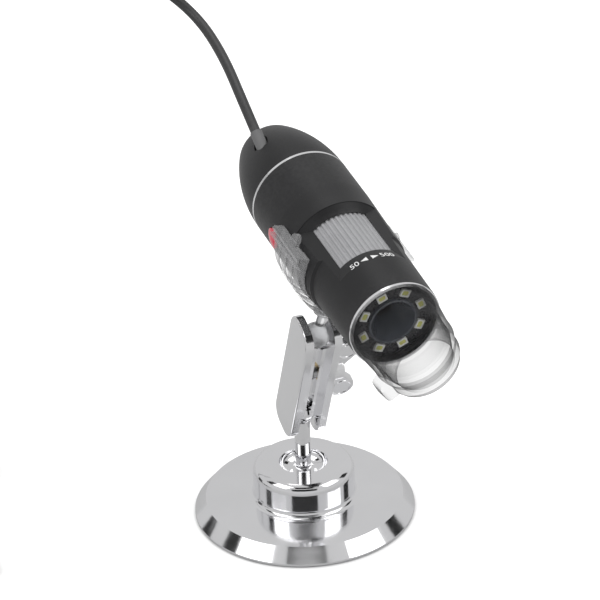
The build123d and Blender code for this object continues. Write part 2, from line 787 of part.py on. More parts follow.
def lens_shroud():
    """Dark funnel between the lamp ring and the lens, flanged behind the board."""
    flange_back_x = led_seat_x - shroud_flange_t
    throat_out_r = shroud_throat_r + shroud_wall
    mouth_r = led_board_bore_r - shroud_wall
    return turned_x((
        (shroud_throat_x, shroud_throat_r),
        (shroud_throat_x, throat_out_r),
        (flange_back_x, mouth_r),
        (flange_back_x, shroud_flange_r),
        (led_seat_x, shroud_flange_r),
        (led_seat_x, led_board_bore_r),
        (shroud_mouth_x, led_board_bore_r),
        (shroud_mouth_x, mouth_r),
    ))


def hood():
    """Clear stepped hood with a pull lug at its rim and a short spigot into the front ring."""
    rear_x = barrel_len + front_trim_w / 2 + seat_gap
    rim_x = rear_x + hood_len
    step_x = rear_x + hood_step_share * hood_len
    mid_a_x = rear_x + hood_mid_shares[0] * hood_len
    mid_b_x = rear_x + hood_mid_shares[1] * hood_len
    nose_a_x = rear_x + hood_nose_shares[0] * hood_len
    nose_b_x = rear_x + hood_nose_shares[1] * hood_len
    spigot_r = front_trim_bore_r - free_gap
    shell = turned_x((
        (rear_x, hood_rear_r),
        (step_x, hood_step_r),
        (mid_a_x, hood_mid_r),
        (mid_b_x, hood_mid_r),
        (nose_a_x, hood_nose_r),
        (nose_b_x, hood_nose_r),
        (rim_x, hood_rim_r),
        (rim_x, hood_mouth_r),
        (rim_x - hood_rim_t, hood_mouth_r),
        (nose_a_x, hood_nose_r - hood_wall),
        (mid_b_x, hood_mid_r - hood_wall),
        (mid_a_x, hood_mid_r - hood_wall),
        (step_x, hood_step_r - hood_wall),
        (rear_x, spigot_r - hood_spigot_wall),
        (rear_x - hood_spigot_len, spigot_r - hood_spigot_wall),
        (rear_x - hood_spigot_len, spigot_r),
        (rear_x, spigot_r),
    ))
    lug = Box(lug_len, lug_w, lug_reach_r - hood_mouth_r - hood_wall)
    lug = fillet(lug.edges().filter_by(Axis.Y).sort_by(Axis.Z)[-2:], lug_corner_r)
    lug_mid_r = (lug_reach_r + hood_mouth_r + hood_wall) / 2
    lug_x = rim_x - lug_back - lug_len / 2
    return shell + round_barrel(lug_x, lug_angle) * Pos(0, 0, lug_mid_r) * lug


def snapshot_button():
    """Red domed button with a flange behind the barrel's wall."""
    flange_top = shell_bore_r - seat_gap - button_flange_r ** 2 / 2 / shell_bore_r
    top = barrel_r + button_proud
    side = Align.CENTER, Align.CENTER, Align.MIN
    cap = Pos(0, 0, flange_top - button_flange_t) * Cylinder(button_r, top - flange_top + button_flange_t, align=side)
    dome_r = (button_r ** 2 + button_dome ** 2) / 2 / button_dome
    cap &= Pos(0, 0, top - dome_r) * Sphere(dome_r)
    cap += Pos(0, 0, flange_top - button_flange_t) * Cylinder(button_flange_r, button_flange_t, align=side)
    return round_barrel(button_x, button_angle) * cap


def switch_top_r():
    """Radius at which the switch's plunger stops short of the button at full travel."""
    flange_top = shell_bore_r - seat_gap - button_flange_r ** 2 / 2 / shell_bore_r
    return flange_top - button_flange_t - button_travel - plunger_gap


def main_board():
    """Rectangular board beside the axis, with the controller chip, standing behind the button."""
    front_x = flange_x - board_t - board_screw_head_t - main_board_gap
    length = front_x - main_board_rear_x
    board = Box(length, 2 * main_board_half_w, board_t, align=(Align.MIN, Align.CENTER, Align.MAX))
    board = Pos(0, 0, main_board_top_r) * board
    chip = Box(chip_w, chip_w, chip_t, align=(Align.CENTER, Align.CENTER, Align.MAX))
    board += Pos(chip_x_back, 0, main_board_top_r - board_t) * chip
    return round_barrel(main_board_rear_x, button_angle) * board


def tact_switch():
    """Small switch on the main board, under the button."""
    body = Box(switch_w, switch_w, switch_t, align=(Align.CENTER, Align.CENTER, Align.MIN))
    body = Pos(0, 0, main_board_top_r) * body
    plunger = upright(plunger_r, main_board_top_r, switch_top_r())
    return round_barrel(button_x, button_angle) * (body + plunger)


def sensor_board():
    """Round board behind the chassis flange."""
    board = ring_x(0, sensor_board_r, flange_x - board_t, flange_x)
    for turn in range(board_screw_count):
        hole = ring_x(0, board_screw_r, flange_x - board_t, flange_x)
        board -= Rot(X=turn * 360 / board_screw_count) * Pos(0, 0, board_screw_ring_r) * hole
    return board


def image_sensor():
    """Sensor package on the round board, in the chassis tube."""
    return Pos(flange_x, 0, 0) * Box(sensor_t, sensor_w, sensor_w, align=(Align.MIN, Align.CENTER, Align.CENTER))


def chassis_screws():
    """Screws that hold the round board to the flange."""
    back_x = flange_x - board_t
    screw = ring_x(0, board_screw_head_r, back_x - board_screw_head_t, back_x)
    screw += ring_x(0, board_screw_r, back_x, flange_x + flange_t - fit_gap)
    screws = [
        Rot(X=turn * 360 / board_screw_count) * Pos(0, 0, board_screw_ring_r) * screw
        for turn in range(board_screw_count)
    ]
    return Compound(children=screws)


def corner_radii(points):
    """The largest arc that fits each corner of a route: 0.45 of the shorter run over the half turn."""
    radii = []
    for before, here, after in zip(points, points[1:], points[2:]):
        run_in = here - before
        run_out = after - here
        half_turn = math.radians(run_in.get_angle(run_out)) / 2
        radii.append(0.45 * min(run_in.length, run_out.length) / math.tan(half_turn))
    return radii


def free_tube(points, label):
    """A round tube along straight runs joined by tangent arcs."""
    radii = corner_radii(points)
    path = FilletPolyline(*points, radius=radii)
    tube = sweep(Plane(origin=path @ 0, z_dir=path % 0) * Circle(cable_r), path=path)
    section = math.pi * cable_r ** 2
    print(label, "radii", [round(radius, 1) for radius in radii])
    print(label, "length", round(path.length, 1), "volume share", round(tube.volume / section / path.length, 4))
    return tube


coil_stage_turns = coil_layer_turns + coil_drop_turns
coil_turns = coil_layers * coil_layer_turns + (coil_layers - 1) * coil_drop_turns
coil_inner_r = coil_outer_r - coil_pitch * coil_layer_turns
coil_bulge = coil_pitch * coil_drop_turns / 4
coil_low_z = cable_r + tie_t


def coil_state(turns):
    """Radius, height and their rates per turn after some turns: from the top, in and out by turns."""
    layer = min(int(turns / coil_stage_turns + 1e-9), coil_layers - 1)
    past = turns - layer * coil_stage_turns
    inward = 1 if layer % 2 == 0 else -1
    start_r, end_r = (coil_outer_r, coil_inner_r) if inward > 0 else (coil_inner_r, coil_outer_r)
    height = coil_low_z + coil_layer * (coil_layers - 1 - layer)
    if past <= coil_layer_turns:
        return start_r - inward * coil_pitch * past, height, -inward * coil_pitch, 0.0
    share = (past - coil_layer_turns) / coil_drop_turns
    radius = end_r - inward * 4 * coil_bulge * share * (1 - share)
    height -= coil_layer * share ** 2 * (3 - 2 * share)
    radius_rate = -inward * coil_pitch * (1 - 2 * share)
    height_rate = -coil_layer / coil_drop_turns * 6 * share * (1 - share)
    return radius, height, radius_rate, height_rate


def coil_point(turns):
    """The centre line's point and direction after some turns, anticlockwise seen from above."""
    radius, height, radius_rate, height_rate = coil_state(turns)
    angle = math.radians(coil_start_angle) + 2 * math.pi * turns
    point = Vector(coil_x + radius * math.cos(angle), coil_y + radius * math.sin(angle), height)
    outward = Vector(math.cos(angle), math.sin(angle), 0)
    onward = Vector(-math.sin(angle), math.cos(angle), 0)
    direction = outward * radius_rate + onward * (2 * math.pi * radius) + Vector(0, 0, height_rate)
    return point, direction.normalized()


def biarc(start, start_dir, end, end_dir):
    """Two arcs that join two points and keep both directions, and the corner points between them."""
    span = end - start
    dirs = start_dir + end_dir
    a = 2 * (1 - start_dir.dot(end_dir))
    b = 2 * span.dot(dirs)
    c = -span.dot(span)
    reach = (-b + math.sqrt(b * b - 4 * a * c)) / (2 * a)
    join = (start + start_dir * reach + end - end_dir * reach) / 2
    join_dir = (end - end_dir * reach - start - start_dir * reach).normalized()
    first = Edge.make_tangent_arc(start, start_dir, join)
    second = Edge.make_tangent_arc(join, join_dir, end)
    return [first, second]


def coil_breaks():
    """Every quarter turn, with the ends of the spirals and of the drops among them."""
    stops = []
    for layer in range(coil_layers):
        stops += [layer * coil_stage_turns + coil_layer_turns, (layer + 1) * coil_stage_turns]
    marks = [0.0]
    for stop in stops[:-1]:
        count = math.ceil((stop - marks[-1]) * 4 - 1e-9)
        start = marks[-1]
        marks += [start + (stop - start) * step / count for step in range(1, count + 1)]
    return marks


def coil_path():
    """The coil's centre line with a straight run of one diameter at each end."""
    marks = coil_breaks()
    first, first_dir = coil_point(marks[0])
    last, last_dir = coil_point(marks[-1])
    edges = [Edge.make_line(first - first_dir * 2 * cable_r, first)]
    for here, there in zip(marks, marks[1:]):
        edges += biarc(*coil_point(here), *coil_point(there))
    edges.append(Edge.make_line(last, last + last_dir * 2 * cable_r))
    return Wire(edges)


def coil_gap():
    """Least distance between neighbouring turns' surfaces, measured on points of the centre line."""
    per_turn = 72
    count = int(coil_turns * per_turn)
    points = [coil_point(step / per_turn)[0] for step in range(count + 1)]
    least = min(
        (points[i] - points[j]).length
        for i in range(0, count, 3)
        for j in range(i + per_turn // 2, count)
    )
    return least - 2 * cable_r


def cord_coil():
    """The put-away length: a neat round coil, wound from its top down."""
    path = coil_path()
    coil = sweep(Plane(origin=path @ 0, z_dir=path % 0) * Circle(cable_r), path=path)
    section = math.pi * cable_r ** 2
    print("coil length", round(path.length, 1), "volume share", round(coil.volume / section / path.length, 4))
    print("coil least gap", round(coil_gap(), 3), "tightest radius", round(coil_inner_r - coil_bulge, 2))
    return coil


lead_exit = Vector(*(gland_place * Pos(0, 0, 0)).position)
lead_exit_dir = ((gland_place * Pos(0, 0, exit_run)).position - lead_exit).normalized()
coil_first, coil_first_dir = coil_point(0)
coil_last, coil_last_dir = coil_point(coil_turns)


def cord_lead():
    """The cable's free stretch from the gland to the coil."""
    arrive = coil_first - coil_first_dir * 2 * cable_r
    points = [lead_exit, lead_exit + lead_exit_dir * exit_run]
    points += [Vector(*point) for point in lead_route]
    points.append(arrive - coil_first_dir * lead_last_run)
    points.append(arrive)
    return free_tube(points, "lead")


lead_last_run = 6.9
tail_first_run = 4.5
tail_drop_run = 6.0
tail_turn = -15.0            # degrees that the tail turns in before the plug
tail_last_run = 5.0

# The tail's points and the plug's frame
tail_start = coil_last + coil_last_dir * 2 * cable_r
tail_one = tail_start + coil_last_dir * tail_first_run
plug_axis_z = plug_grip_h / 2
level_dir = Vector(coil_last_dir.X, coil_last_dir.Y, 0).normalized()
plug_dir = level_dir.rotate(Axis.Z, tail_turn)
tail_two = Vector(tail_one.X, tail_one.Y, plug_axis_z) + level_dir * tail_drop_run
tail_end = tail_two + plug_dir * tail_last_run
plug_place = Location(Plane(origin=tail_end, x_dir=plug_dir, z_dir=(0, 0, 1)))


def cord_tail():
    """The short free stretch from the coil to the plug."""
    return free_tube([tail_start, tail_one, tail_two, tail_end], "tail")


def cord_tie():
    """Soft band round the coil's bundle."""
    outer_r = coil_outer_r + coil_bulge + cable_r
    inner_r = coil_inner_r - coil_bulge - cable_r
    height = 2 * cable_r + coil_layer * (coil_layers - 1)
    width = outer_r - inner_r + 2 * fit_gap
    band = RectangleRounded(width + 2 * tie_t, height + 2 * tie_t + fit_gap, tie_corner_r + tie_t)
    band -= RectangleRounded(width, height + fit_gap, tie_corner_r)
    band = Rot(X=90) * extrude(band, tie_w / 2, both=True)
    mid_z = (height + 2 * tie_t + fit_gap) / 2
    return Pos(coil_x, coil_y, 0) * Rot(Z=tie_angle) * Pos((inner_r + outer_r) / 2, 0, mid_z) * band


def plug_grip():
    """Moulded grip with a tapered strain relief, from the cable's end onward along X."""
    side = Align.MIN, Align.CENTER, Align.CENTER
    grip = Pos(plug_relief_len, 0, 0) * Box(plug_grip_len, plug_grip_w, plug_grip_h, align=side)
    grip = fillet(grip.edges().filter_by(Axis.X) + grip.edges().group_by(Axis.X)[0], plug_grip_edge_r)
    grip += turned_x((
        (0, 0),
        (0, plug_relief_tip_r),
        (plug_relief_len + plug_grip_edge_r, plug_relief_r),
        (plug_relief_len + plug_grip_edge_r, 0),
    ))
    sunk_x = plug_relief_len + plug_grip_len - plug_shell_sunk
    return grip - Pos(sunk_x, 0, 0) * Box(plug_shell_len, plug_shell_w, plug_shell_h, align=side)


plug_shell_x = plug_relief_len + plug_grip_len - plug_shell_sunk


def plug_shell():
    """Folded metal shell with two latch windows above and below."""
    side = Align.MIN, Align.CENTER, Align.CENTER
    shell = Box(plug_shell_len, plug_shell_w, plug_shell_h, align=side)
    shell -= Pos(plug_shell_wall, 0, 0) * Box(
        plug_shell_len, plug_shell_w - 2 * plug_shell_wall, plug_shell_h - 2 * plug_shell_wall, align=side)
    for across in (-plug_slot_spread, plug_slot_spread):
        window = Box(plug_slot_len, plug_slot_w, plug_shell_h + overrun)
        shell -= Pos(plug_shell_sunk + plug_slot_x, across, 0) * window
    return Pos(plug_shell_x, 0, 0) * shell


def plug_tongue():
    """Contact block inside the shell."""
    side = Align.MIN, Align.CENTER, Align.MIN
    tongue_w = plug_shell_w - 2 * plug_shell_wall
    length = plug_shell_len - plug_shell_wall - plug_tongue_back
    low_z = -plug_shell_h / 2 + plug_shell_wall
    tongue = Pos(0, 0, low_z) * Box(length, tongue_w, plug_tongue_h, align=side)
    return Pos(plug_shell_x + plug_shell_wall, 0, 0) * tongue


def write(name, shape):
    """Writes one sub-part."""
    export_step(shape, f"parts/{name}.step")


def write_stand():
    """The base, the post, the arm and the clip."""
    write("base_cover", base_cover())
    write("base_weight", base_weight())
    write("base_pad", base_pad())
    write("post", post())
    write("post_nut", post_nut())
    write("lower_ball", lower_ball())
    write("arm_plate_left", arm_place * arm_plate(-1))
    write("arm_plate_right", arm_place * arm_plate(1))
    write("arm_insert", arm_place * arm_insert())
    write("arm_washer", arm_place * arm_washer())
    write("wing_knob", arm_place * wing_knob())
    write("clamp_screw", arm_place * clamp_screw())
    write("upper_ball", ball_place * upper_ball())
    write("clip", clip_place * clip())


def write_microscope():
    """The barrel and all that it holds."""
    makers = (
        barrel_shell, tail_cap, cable_gland, rear_trim_ring, front_trim_ring, chassis, wheel_retainer,
        focus_wheel, lens_carrier, lens_barrel, front_lens, rear_lens, lens_retainer, led_board, leds,
        lens_shroud, hood, snapshot_button, main_board, tact_switch, sensor_board, image_sensor,
        chassis_screws,
    )
    for maker in makers:
        write(maker.__name__, barrel_place * maker())


def write_cable():
    """The free lead, its coil, tie and plug."""
    write("cord_lead", cord_lead())
    write("cord_coil", cord_coil())
    write("cord_tail", cord_tail())
    write("cord_tie", cord_tie())
    write("plug_grip", plug_place * plug_grip())
    write("plug_shell", plug_place * plug_shell())
    write("plug_tongue", plug_place * plug_tongue())


write_stand()
write_microscope()
write_cable()
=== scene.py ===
import logging
import math
from dataclasses import dataclass, field
from enum import Enum
from typing import Callable, Iterable, Sequence

import bmesh
import bpy
from mathutils import Matrix, Vector


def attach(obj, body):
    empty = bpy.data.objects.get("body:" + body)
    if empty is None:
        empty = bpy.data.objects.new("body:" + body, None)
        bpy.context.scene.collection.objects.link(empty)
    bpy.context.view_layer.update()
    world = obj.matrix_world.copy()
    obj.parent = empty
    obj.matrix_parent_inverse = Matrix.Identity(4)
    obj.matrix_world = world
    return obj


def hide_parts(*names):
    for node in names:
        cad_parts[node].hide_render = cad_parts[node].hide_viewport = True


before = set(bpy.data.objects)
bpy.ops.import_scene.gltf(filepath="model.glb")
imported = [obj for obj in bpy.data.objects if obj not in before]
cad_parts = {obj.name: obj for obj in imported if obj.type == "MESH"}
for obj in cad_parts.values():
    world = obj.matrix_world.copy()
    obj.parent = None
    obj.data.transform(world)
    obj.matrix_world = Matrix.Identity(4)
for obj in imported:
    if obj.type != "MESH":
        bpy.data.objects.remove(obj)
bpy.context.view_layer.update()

MM = 0.001
LOG = logging.getLogger("microscope")
Point = tuple[float, float, float]




class Body(Enum):
    """The rigid bodies that pieces ride on."""

    BASE = "base"
    LOWER_BALL = "lower_joint_ball"
    ARM = "arm"
    CLAMP = "clamp"
    KNOB = "knob"
    UPPER_BALL = "upper_joint_ball"
    HOLDER = "holder"
    BARREL = "barrel"
    WHEEL = "wheel"
    LENS = "lens"
    BUTTON = "button"
    HOOD = "front_hood"


@dataclass(frozen=True)
class Frames:
    """The frames that the microscope's parts are laid out in, as 4 by 4 matrices in metres."""

    lower_ball_z: float = 36.8
    arm_turn: float = -1.9
    arm_lean: float = 23.7
    arm_span: float = 39.5
    barrel_pitch: float = 8.9
    clip_roll: float = 14.1
    stem_reach: float = 31.4
    clip_station: float = 31.15

    def arm(self) -> Matrix:
        """Returns the arm's frame: Z from ball to ball, Y through the plates."""
        turn = Matrix.Rotation(math.radians(self.arm_turn), 4, "Z")
        lean = Matrix.Rotation(math.radians(self.arm_lean), 4, "Y")
        return Matrix.Translation((0, 0, self.lower_ball_z * MM)) @ turn @ lean

    def upper_ball(self) -> Matrix:
        """Returns the upper ball's frame: Z up its stem."""
        centre = self.arm() @ Vector((0, 0, self.arm_span * MM))
        pitch = Matrix.Rotation(math.radians(self.barrel_pitch), 4, "Y")
        roll = Matrix.Rotation(math.radians(-self.clip_roll), 4, "X")
        return Matrix.Translation(centre) @ pitch @ roll

    def clip(self) -> Matrix:
        """Returns the clip's frame: X along the barrel, Z away from its stem."""
        return self.upper_ball() @ Matrix.Translation((0, 0, self.stem_reach * MM))

    def barrel(self) -> Matrix:
        """Returns the barrel's frame: X forward along its axis from the rear ring, Z up."""
        level = Matrix.Rotation(math.radians(self.clip_roll), 4, "X")
        return self.clip() @ level @ Matrix.Translation((-self.clip_station * MM, 0, 0))


FRAMES = Frames()




class Graph:
    """A shader node tree with short ways to add nodes and wire them."""

    def __init__(self, tree: bpy.types.NodeTree) -> None:
        """Args:
            tree: the node tree to write into.
        """
        self.tree = tree

    def add(self, kind: str, **settings: object) -> bpy.types.Node:
        """Adds a node.

        Args:
            kind: Blender's node type, without its ShaderNode prefix.
            settings: attributes to set on the node.

        Returns:
            The new node.
        """
        node = self.tree.nodes.new("ShaderNode" + kind)
        for name, value in settings.items():
            setattr(node, name, value)
        return node

    def wire(self, source: object, target: object) -> None:
        """Links an output socket to an input socket."""
        self.tree.links.new(source, target)

    def feed(self, target: object, value: object) -> None:
        """Sets an input socket from a number or colour, or links it from a socket."""
        if isinstance(value, bpy.types.NodeSocket):
            self.wire(value, target)
        else:
            target.default_value = value

    def math(self, operation: str, *values: object) -> object:
        """Adds a Math node.

        Args:
            operation: Blender's name of the operation.
            values: numbers or sockets, in the node's order.

        Returns:
            Its output socket.
        """
        node = self.add("Math", operation=operation)
        for socket, value in zip(node.inputs, values):
            self.feed(socket, value)
        return node.outputs[0]

    def spread(self, value: object, low: float, high: float, to_low: float, to_high: float) -> object:
        """Maps a value's range onto another, clamped, and returns the output socket."""
        node = self.add("MapRange")
        self.feed(node.inputs["Value"], value)
        for name, number in zip(("From Min", "From Max", "To Min", "To Max"), (low, high, to_low, to_high)):
            node.inputs[name].default_value = number
        return node.outputs["Result"]

    def mix(self, factor: object, first: object, second: object, blend: str = "MIX") -> object:
        """Mixes two colours and returns the output socket."""
        node = self.add("Mix", data_type="RGBA", blend_type=blend)
        self.feed(node.inputs["Factor"], factor)
        self.feed(node.inputs[6], first)
        self.feed(node.inputs[7], second)
        return node.outputs[2]

    def noise(self, vector: object, scale: float, detail: float = 2.0, rough: float = 0.5) -> object:
        """Adds a noise texture and returns its value socket."""
        node = self.add("TexNoise")
        self.feed(node.inputs["Vector"], vector)
        node.inputs["Scale"].default_value = scale
        node.inputs["Detail"].default_value = detail
        node.inputs["Roughness"].default_value = rough
        return node.outputs["Fac"]

    def stretched(self, vector: object, scale: Point) -> object:
        """Scales a coordinate by axis and returns the output socket."""
        node = self.add("Mapping")
        self.feed(node.inputs["Vector"], vector)
        node.inputs["Scale"].default_value = scale
        return node.outputs["Vector"]


class Effect(Enum):
    """Effects that several finishes share, each built once as a node group."""

    GRAIN = "moulded_grain"
    HANDLING = "handling_marks"
    WEAR = "edge_wear"
    DUST = "settled_dust"
    HAIRLINES = "fine_hairlines"
    TONE = "tone_mottle"


class EffectGroups:
    """Builds the shared node groups, and places them in materials."""

    def __init__(self) -> None:
        """Starts with no group built."""
        self.made: dict[Effect, bpy.types.NodeTree] = {}

    def tree(self, effect: Effect) -> bpy.types.NodeTree:
        """Returns an effect's node group, building it at its first use."""
        if effect not in self.made:
            makers: dict[Effect, Callable[[], bpy.types.NodeTree]] = {
                Effect.GRAIN: self._grain,
                Effect.HANDLING: self._handling,
                Effect.WEAR: self._wear,
                Effect.DUST: self._dust,
                Effect.HAIRLINES: self._hairlines,
                Effect.TONE: self._tone,
            }
            self.made[effect] = makers[effect]()
        return self.made[effect]

    def place(self, graph: Graph, effect: Effect, **values: object) -> bpy.types.Node:
        """Places an effect in a material.

        Args:
            graph: the material's graph.
            effect: which effect.
            values: its named inputs, as numbers, colours or sockets.

        Returns:
            The group node.
        """
        node = graph.add("Group", node_tree=self.tree(effect))
        for name, value in values.items():
            graph.feed(node.inputs[name], value)
        return node

    def _start(self, effect: Effect, inputs: dict[str, object], outputs: dict[str, str]) -> tuple:
        """Makes an empty group.

        Args:
            effect: the effect that it is for.
            inputs: name to default, or to None for a vector.
            outputs: name to "Float" or "Color".

        Returns:
            The tree, its graph, and its input and output nodes.
        """
        tree = bpy.data.node_groups.new(effect.value, "ShaderNodeTree")
        for name, default in inputs.items():
            kind = "Vector" if default is None else "Color" if isinstance(default, tuple) else "Float"
            socket = tree.interface.new_socket(name=name, in_out="INPUT", socket_type="NodeSocket" + kind)
            if default is not None:
                socket.default_value = default
        for name, kind in outputs.items():
            tree.interface.new_socket(name=name, in_out="OUTPUT", socket_type="NodeSocket" + kind)
        graph = Graph(tree)
        return tree, graph, tree.nodes.new("NodeGroupInput"), tree.nodes.new("NodeGroupOutput")

    def _grain(self) -> bpy.types.NodeTree:
        """Builds the fine grain of a textured mould."""
        tree, graph, given, out = self._start(
            Effect.GRAIN, {"Vector": None, "Scale": 3000.0}, {"Height": "Float", "Mask": "Float"})
        cells = graph.add("TexVoronoi", feature="SMOOTH_F1")
        graph.wire(given.outputs["Vector"], cells.inputs["Vector"])
        graph.wire(given.outputs["Scale"], cells.inputs["Scale"])
        noise = graph.add("TexNoise")
        graph.wire(given.outputs["Vector"], noise.inputs["Vector"])
        graph.wire(graph.math("MULTIPLY", given.outputs["Scale"], 0.45), noise.inputs["Scale"])
        noise.inputs["Detail"].default_value = 3.0
        height = graph.math("MULTIPLY_ADD", cells.outputs["Distance"], 0.6, noise.outputs["Fac"])
        graph.wire(height, out.inputs["Height"])
        graph.wire(graph.spread(noise.outputs["Fac"], 0.35, 0.65, 0.0, 1.0), out.inputs["Mask"])
        return tree

    def _handling(self) -> bpy.types.NodeTree:
        """Builds the soft patches that handling and wiping leave in a gloss."""
        tree, graph, given, out = self._start(
            Effect.HANDLING, {"Vector": None, "Scale": 60.0, "Amount": 1.0}, {"Mask": "Float"})
        broad = graph.add("TexNoise", noise_dimensions="3D")
        graph.wire(given.outputs["Vector"], broad.inputs["Vector"])
        graph.wire(given.outputs["Scale"], broad.inputs["Scale"])
        broad.inputs["Detail"].default_value = 4.0
        broad.inputs["Distortion"].default_value = 0.6
        fine = graph.add("TexNoise")
        graph.wire(given.outputs["Vector"], fine.inputs["Vector"])
        graph.wire(graph.math("MULTIPLY", given.outputs["Scale"], 9.0), fine.inputs["Scale"])
        both = graph.math("MULTIPLY_ADD", fine.outputs["Fac"], 0.25, broad.outputs["Fac"])
        shaped = graph.spread(both, 0.5, 0.85, 0.0, 1.0)
        graph.wire(graph.math("MULTIPLY", shaped, given.outputs["Amount"]), out.inputs["Mask"])
        return tree

    def _wear(self) -> bpy.types.NodeTree:
        """Builds the rubbed mask along convex edges."""
        tree, graph, given, out = self._start(
            Effect.WEAR, {"Vector": None, "Scale": 900.0, "Amount": 1.0}, {"Mask": "Float"})
        shape = graph.add("NewGeometry")
        edge = graph.spread(shape.outputs["Pointiness"], 0.52, 0.62, 0.0, 1.0)
        noise = graph.add("TexNoise")
        graph.wire(given.outputs["Vector"], noise.inputs["Vector"])
        graph.wire(given.outputs["Scale"], noise.inputs["Scale"])
        broken = graph.math("MULTIPLY", edge, graph.spread(noise.outputs["Fac"], 0.4, 0.6, 0.2, 1.0))
        graph.wire(graph.math("MULTIPLY", broken, given.outputs["Amount"]), out.inputs["Mask"])
        return tree

    def _dust(self) -> bpy.types.NodeTree:
        """Builds the specks that settle on faces that look up."""
        tree, graph, given, out = self._start(
            Effect.DUST, {"Vector": None, "Scale": 1400.0, "Amount": 1.0}, {"Mask": "Float"})
        shape = graph.add("NewGeometry")
        parts = graph.add("SeparateXYZ")
        graph.wire(shape.outputs["Normal"], parts.inputs["Vector"])
        upward = graph.spread(parts.outputs["Z"], 0.2, 0.9, 0.0, 1.0)
        cells = graph.add("TexVoronoi")
        graph.wire(given.outputs["Vector"], cells.inputs["Vector"])
        graph.wire(given.outputs["Scale"], cells.inputs["Scale"])
        specks = graph.spread(cells.outputs["Distance"], 0.05, 0.12, 1.0, 0.0)
        veil = graph.add("TexNoise")
        graph.wire(given.outputs["Vector"], veil.inputs["Vector"])
        graph.wire(graph.math("MULTIPLY", given.outputs["Scale"], 0.08), veil.inputs["Scale"])
        patch = graph.spread(veil.outputs["Fac"], 0.45, 0.7, 0.0, 1.0)
        mask = graph.math("MULTIPLY", graph.math("MULTIPLY", specks, upward), patch)
        graph.wire(graph.math("MULTIPLY", mask, given.outputs["Amount"]), out.inputs["Mask"])
        return tree

    def _hairlines(self) -> bpy.types.NodeTree:
        """Builds very fine lines; the vector comes in already stretched along them."""
        tree, graph, given, out = self._start(
            Effect.HAIRLINES, {"Vector": None, "Scale": 900.0}, {"Height": "Float", "Mask": "Float"})
        noise = graph.add("TexNoise")
        graph.wire(given.outputs["Vector"], noise.inputs["Vector"])
        graph.wire(given.outputs["Scale"], noise.inputs["Scale"])
        noise.inputs["Detail"].default_value = 5.0
        noise.inputs["Roughness"].default_value = 0.7
        graph.wire(noise.outputs["Fac"], out.inputs["Height"])
        graph.wire(graph.spread(noise.outputs["Fac"], 0.5, 0.75, 0.0, 1.0), out.inputs["Mask"])
        return tree

    def _tone(self) -> bpy.types.NodeTree:
        """Builds the slow variation of a colour over a moulding."""
        tree, graph, given, out = self._start(
            Effect.TONE,
            {"Vector": None, "Scale": 80.0, "Color": (0.5, 0.5, 0.5, 1.0), "Amount": 0.1},
            {"Color": "Color"},
        )
        noise = graph.add("TexNoise")
        graph.wire(given.outputs["Vector"], noise.inputs["Vector"])
        graph.wire(given.outputs["Scale"], noise.inputs["Scale"])
        noise.inputs["Detail"].default_value = 4.0
        centred = graph.math("SUBTRACT", noise.outputs["Fac"], 0.5)
        factor = graph.math("MULTIPLY_ADD", centred, graph.math("MULTIPLY", given.outputs["Amount"], 4.0), 1.0)
        scaled = graph.add("VectorMath", operation="SCALE")
        graph.wire(given.outputs["Color"], scaled.inputs[0])
        graph.wire(factor, scaled.inputs["Scale"])
        graph.wire(scaled.outputs["Vector"], out.inputs["Color"])
        return tree


EFFECTS = EffectGroups()




def rgba(color: Sequence[float]) -> tuple[float, float, float, float]:
    """Returns a colour with full opacity."""
    return (color[0], color[1], color[2], 1.0)


@dataclass(frozen=True)
class Finish:
    """A finish: its name, colour and gloss. Each kind of finish adds its own surface."""

    name: str
    color: tuple[float, float, float]
    roughness: float = 0.4

    def material(self) -> bpy.types.Material:
        """Returns the finish as a material, building it at its first use."""
        title = f"look_{self.name}"
        made = bpy.data.materials.get(title)
        if made is None:
            made = bpy.data.materials.new(title)
            made.use_nodes = True
            made.node_tree.nodes.clear()
            graph = Graph(made.node_tree)
            output = graph.add("OutputMaterial")
            shader = graph.add("BsdfPrincipled")
            coordinate = graph.add("TexCoord").outputs["Object"]
            surface = self.dress(graph, shader, coordinate)
            graph.wire(surface, output.inputs["Surface"])
        return made

    def dress(self, graph: Graph, shader: bpy.types.Node, where: object) -> object:
        """Fills in the shader.

        Args:
            graph: the material's graph.
            shader: its Principled shader.
            where: the coordinate socket, in metres.

        Returns:
            The socket that goes to the material's surface.
        """
        raise NotImplementedError

    def bump(self, graph: Graph, shader: bpy.types.Node, height: object, distance: float, strength: float) -> None:
        """Feeds a height into the shader's normal.

        Args:
            graph: the material's graph.
            shader: the shader to feed.
            height: the height's socket.
            distance: its depth, in metres.
            strength: from 0 to 1.
        """
        node = graph.add("Bump")
        node.inputs["Strength"].default_value = strength
        node.inputs["Distance"].default_value = distance
        graph.wire(height, node.inputs["Height"])
        graph.wire(node.outputs["Normal"], shader.inputs["Normal"])


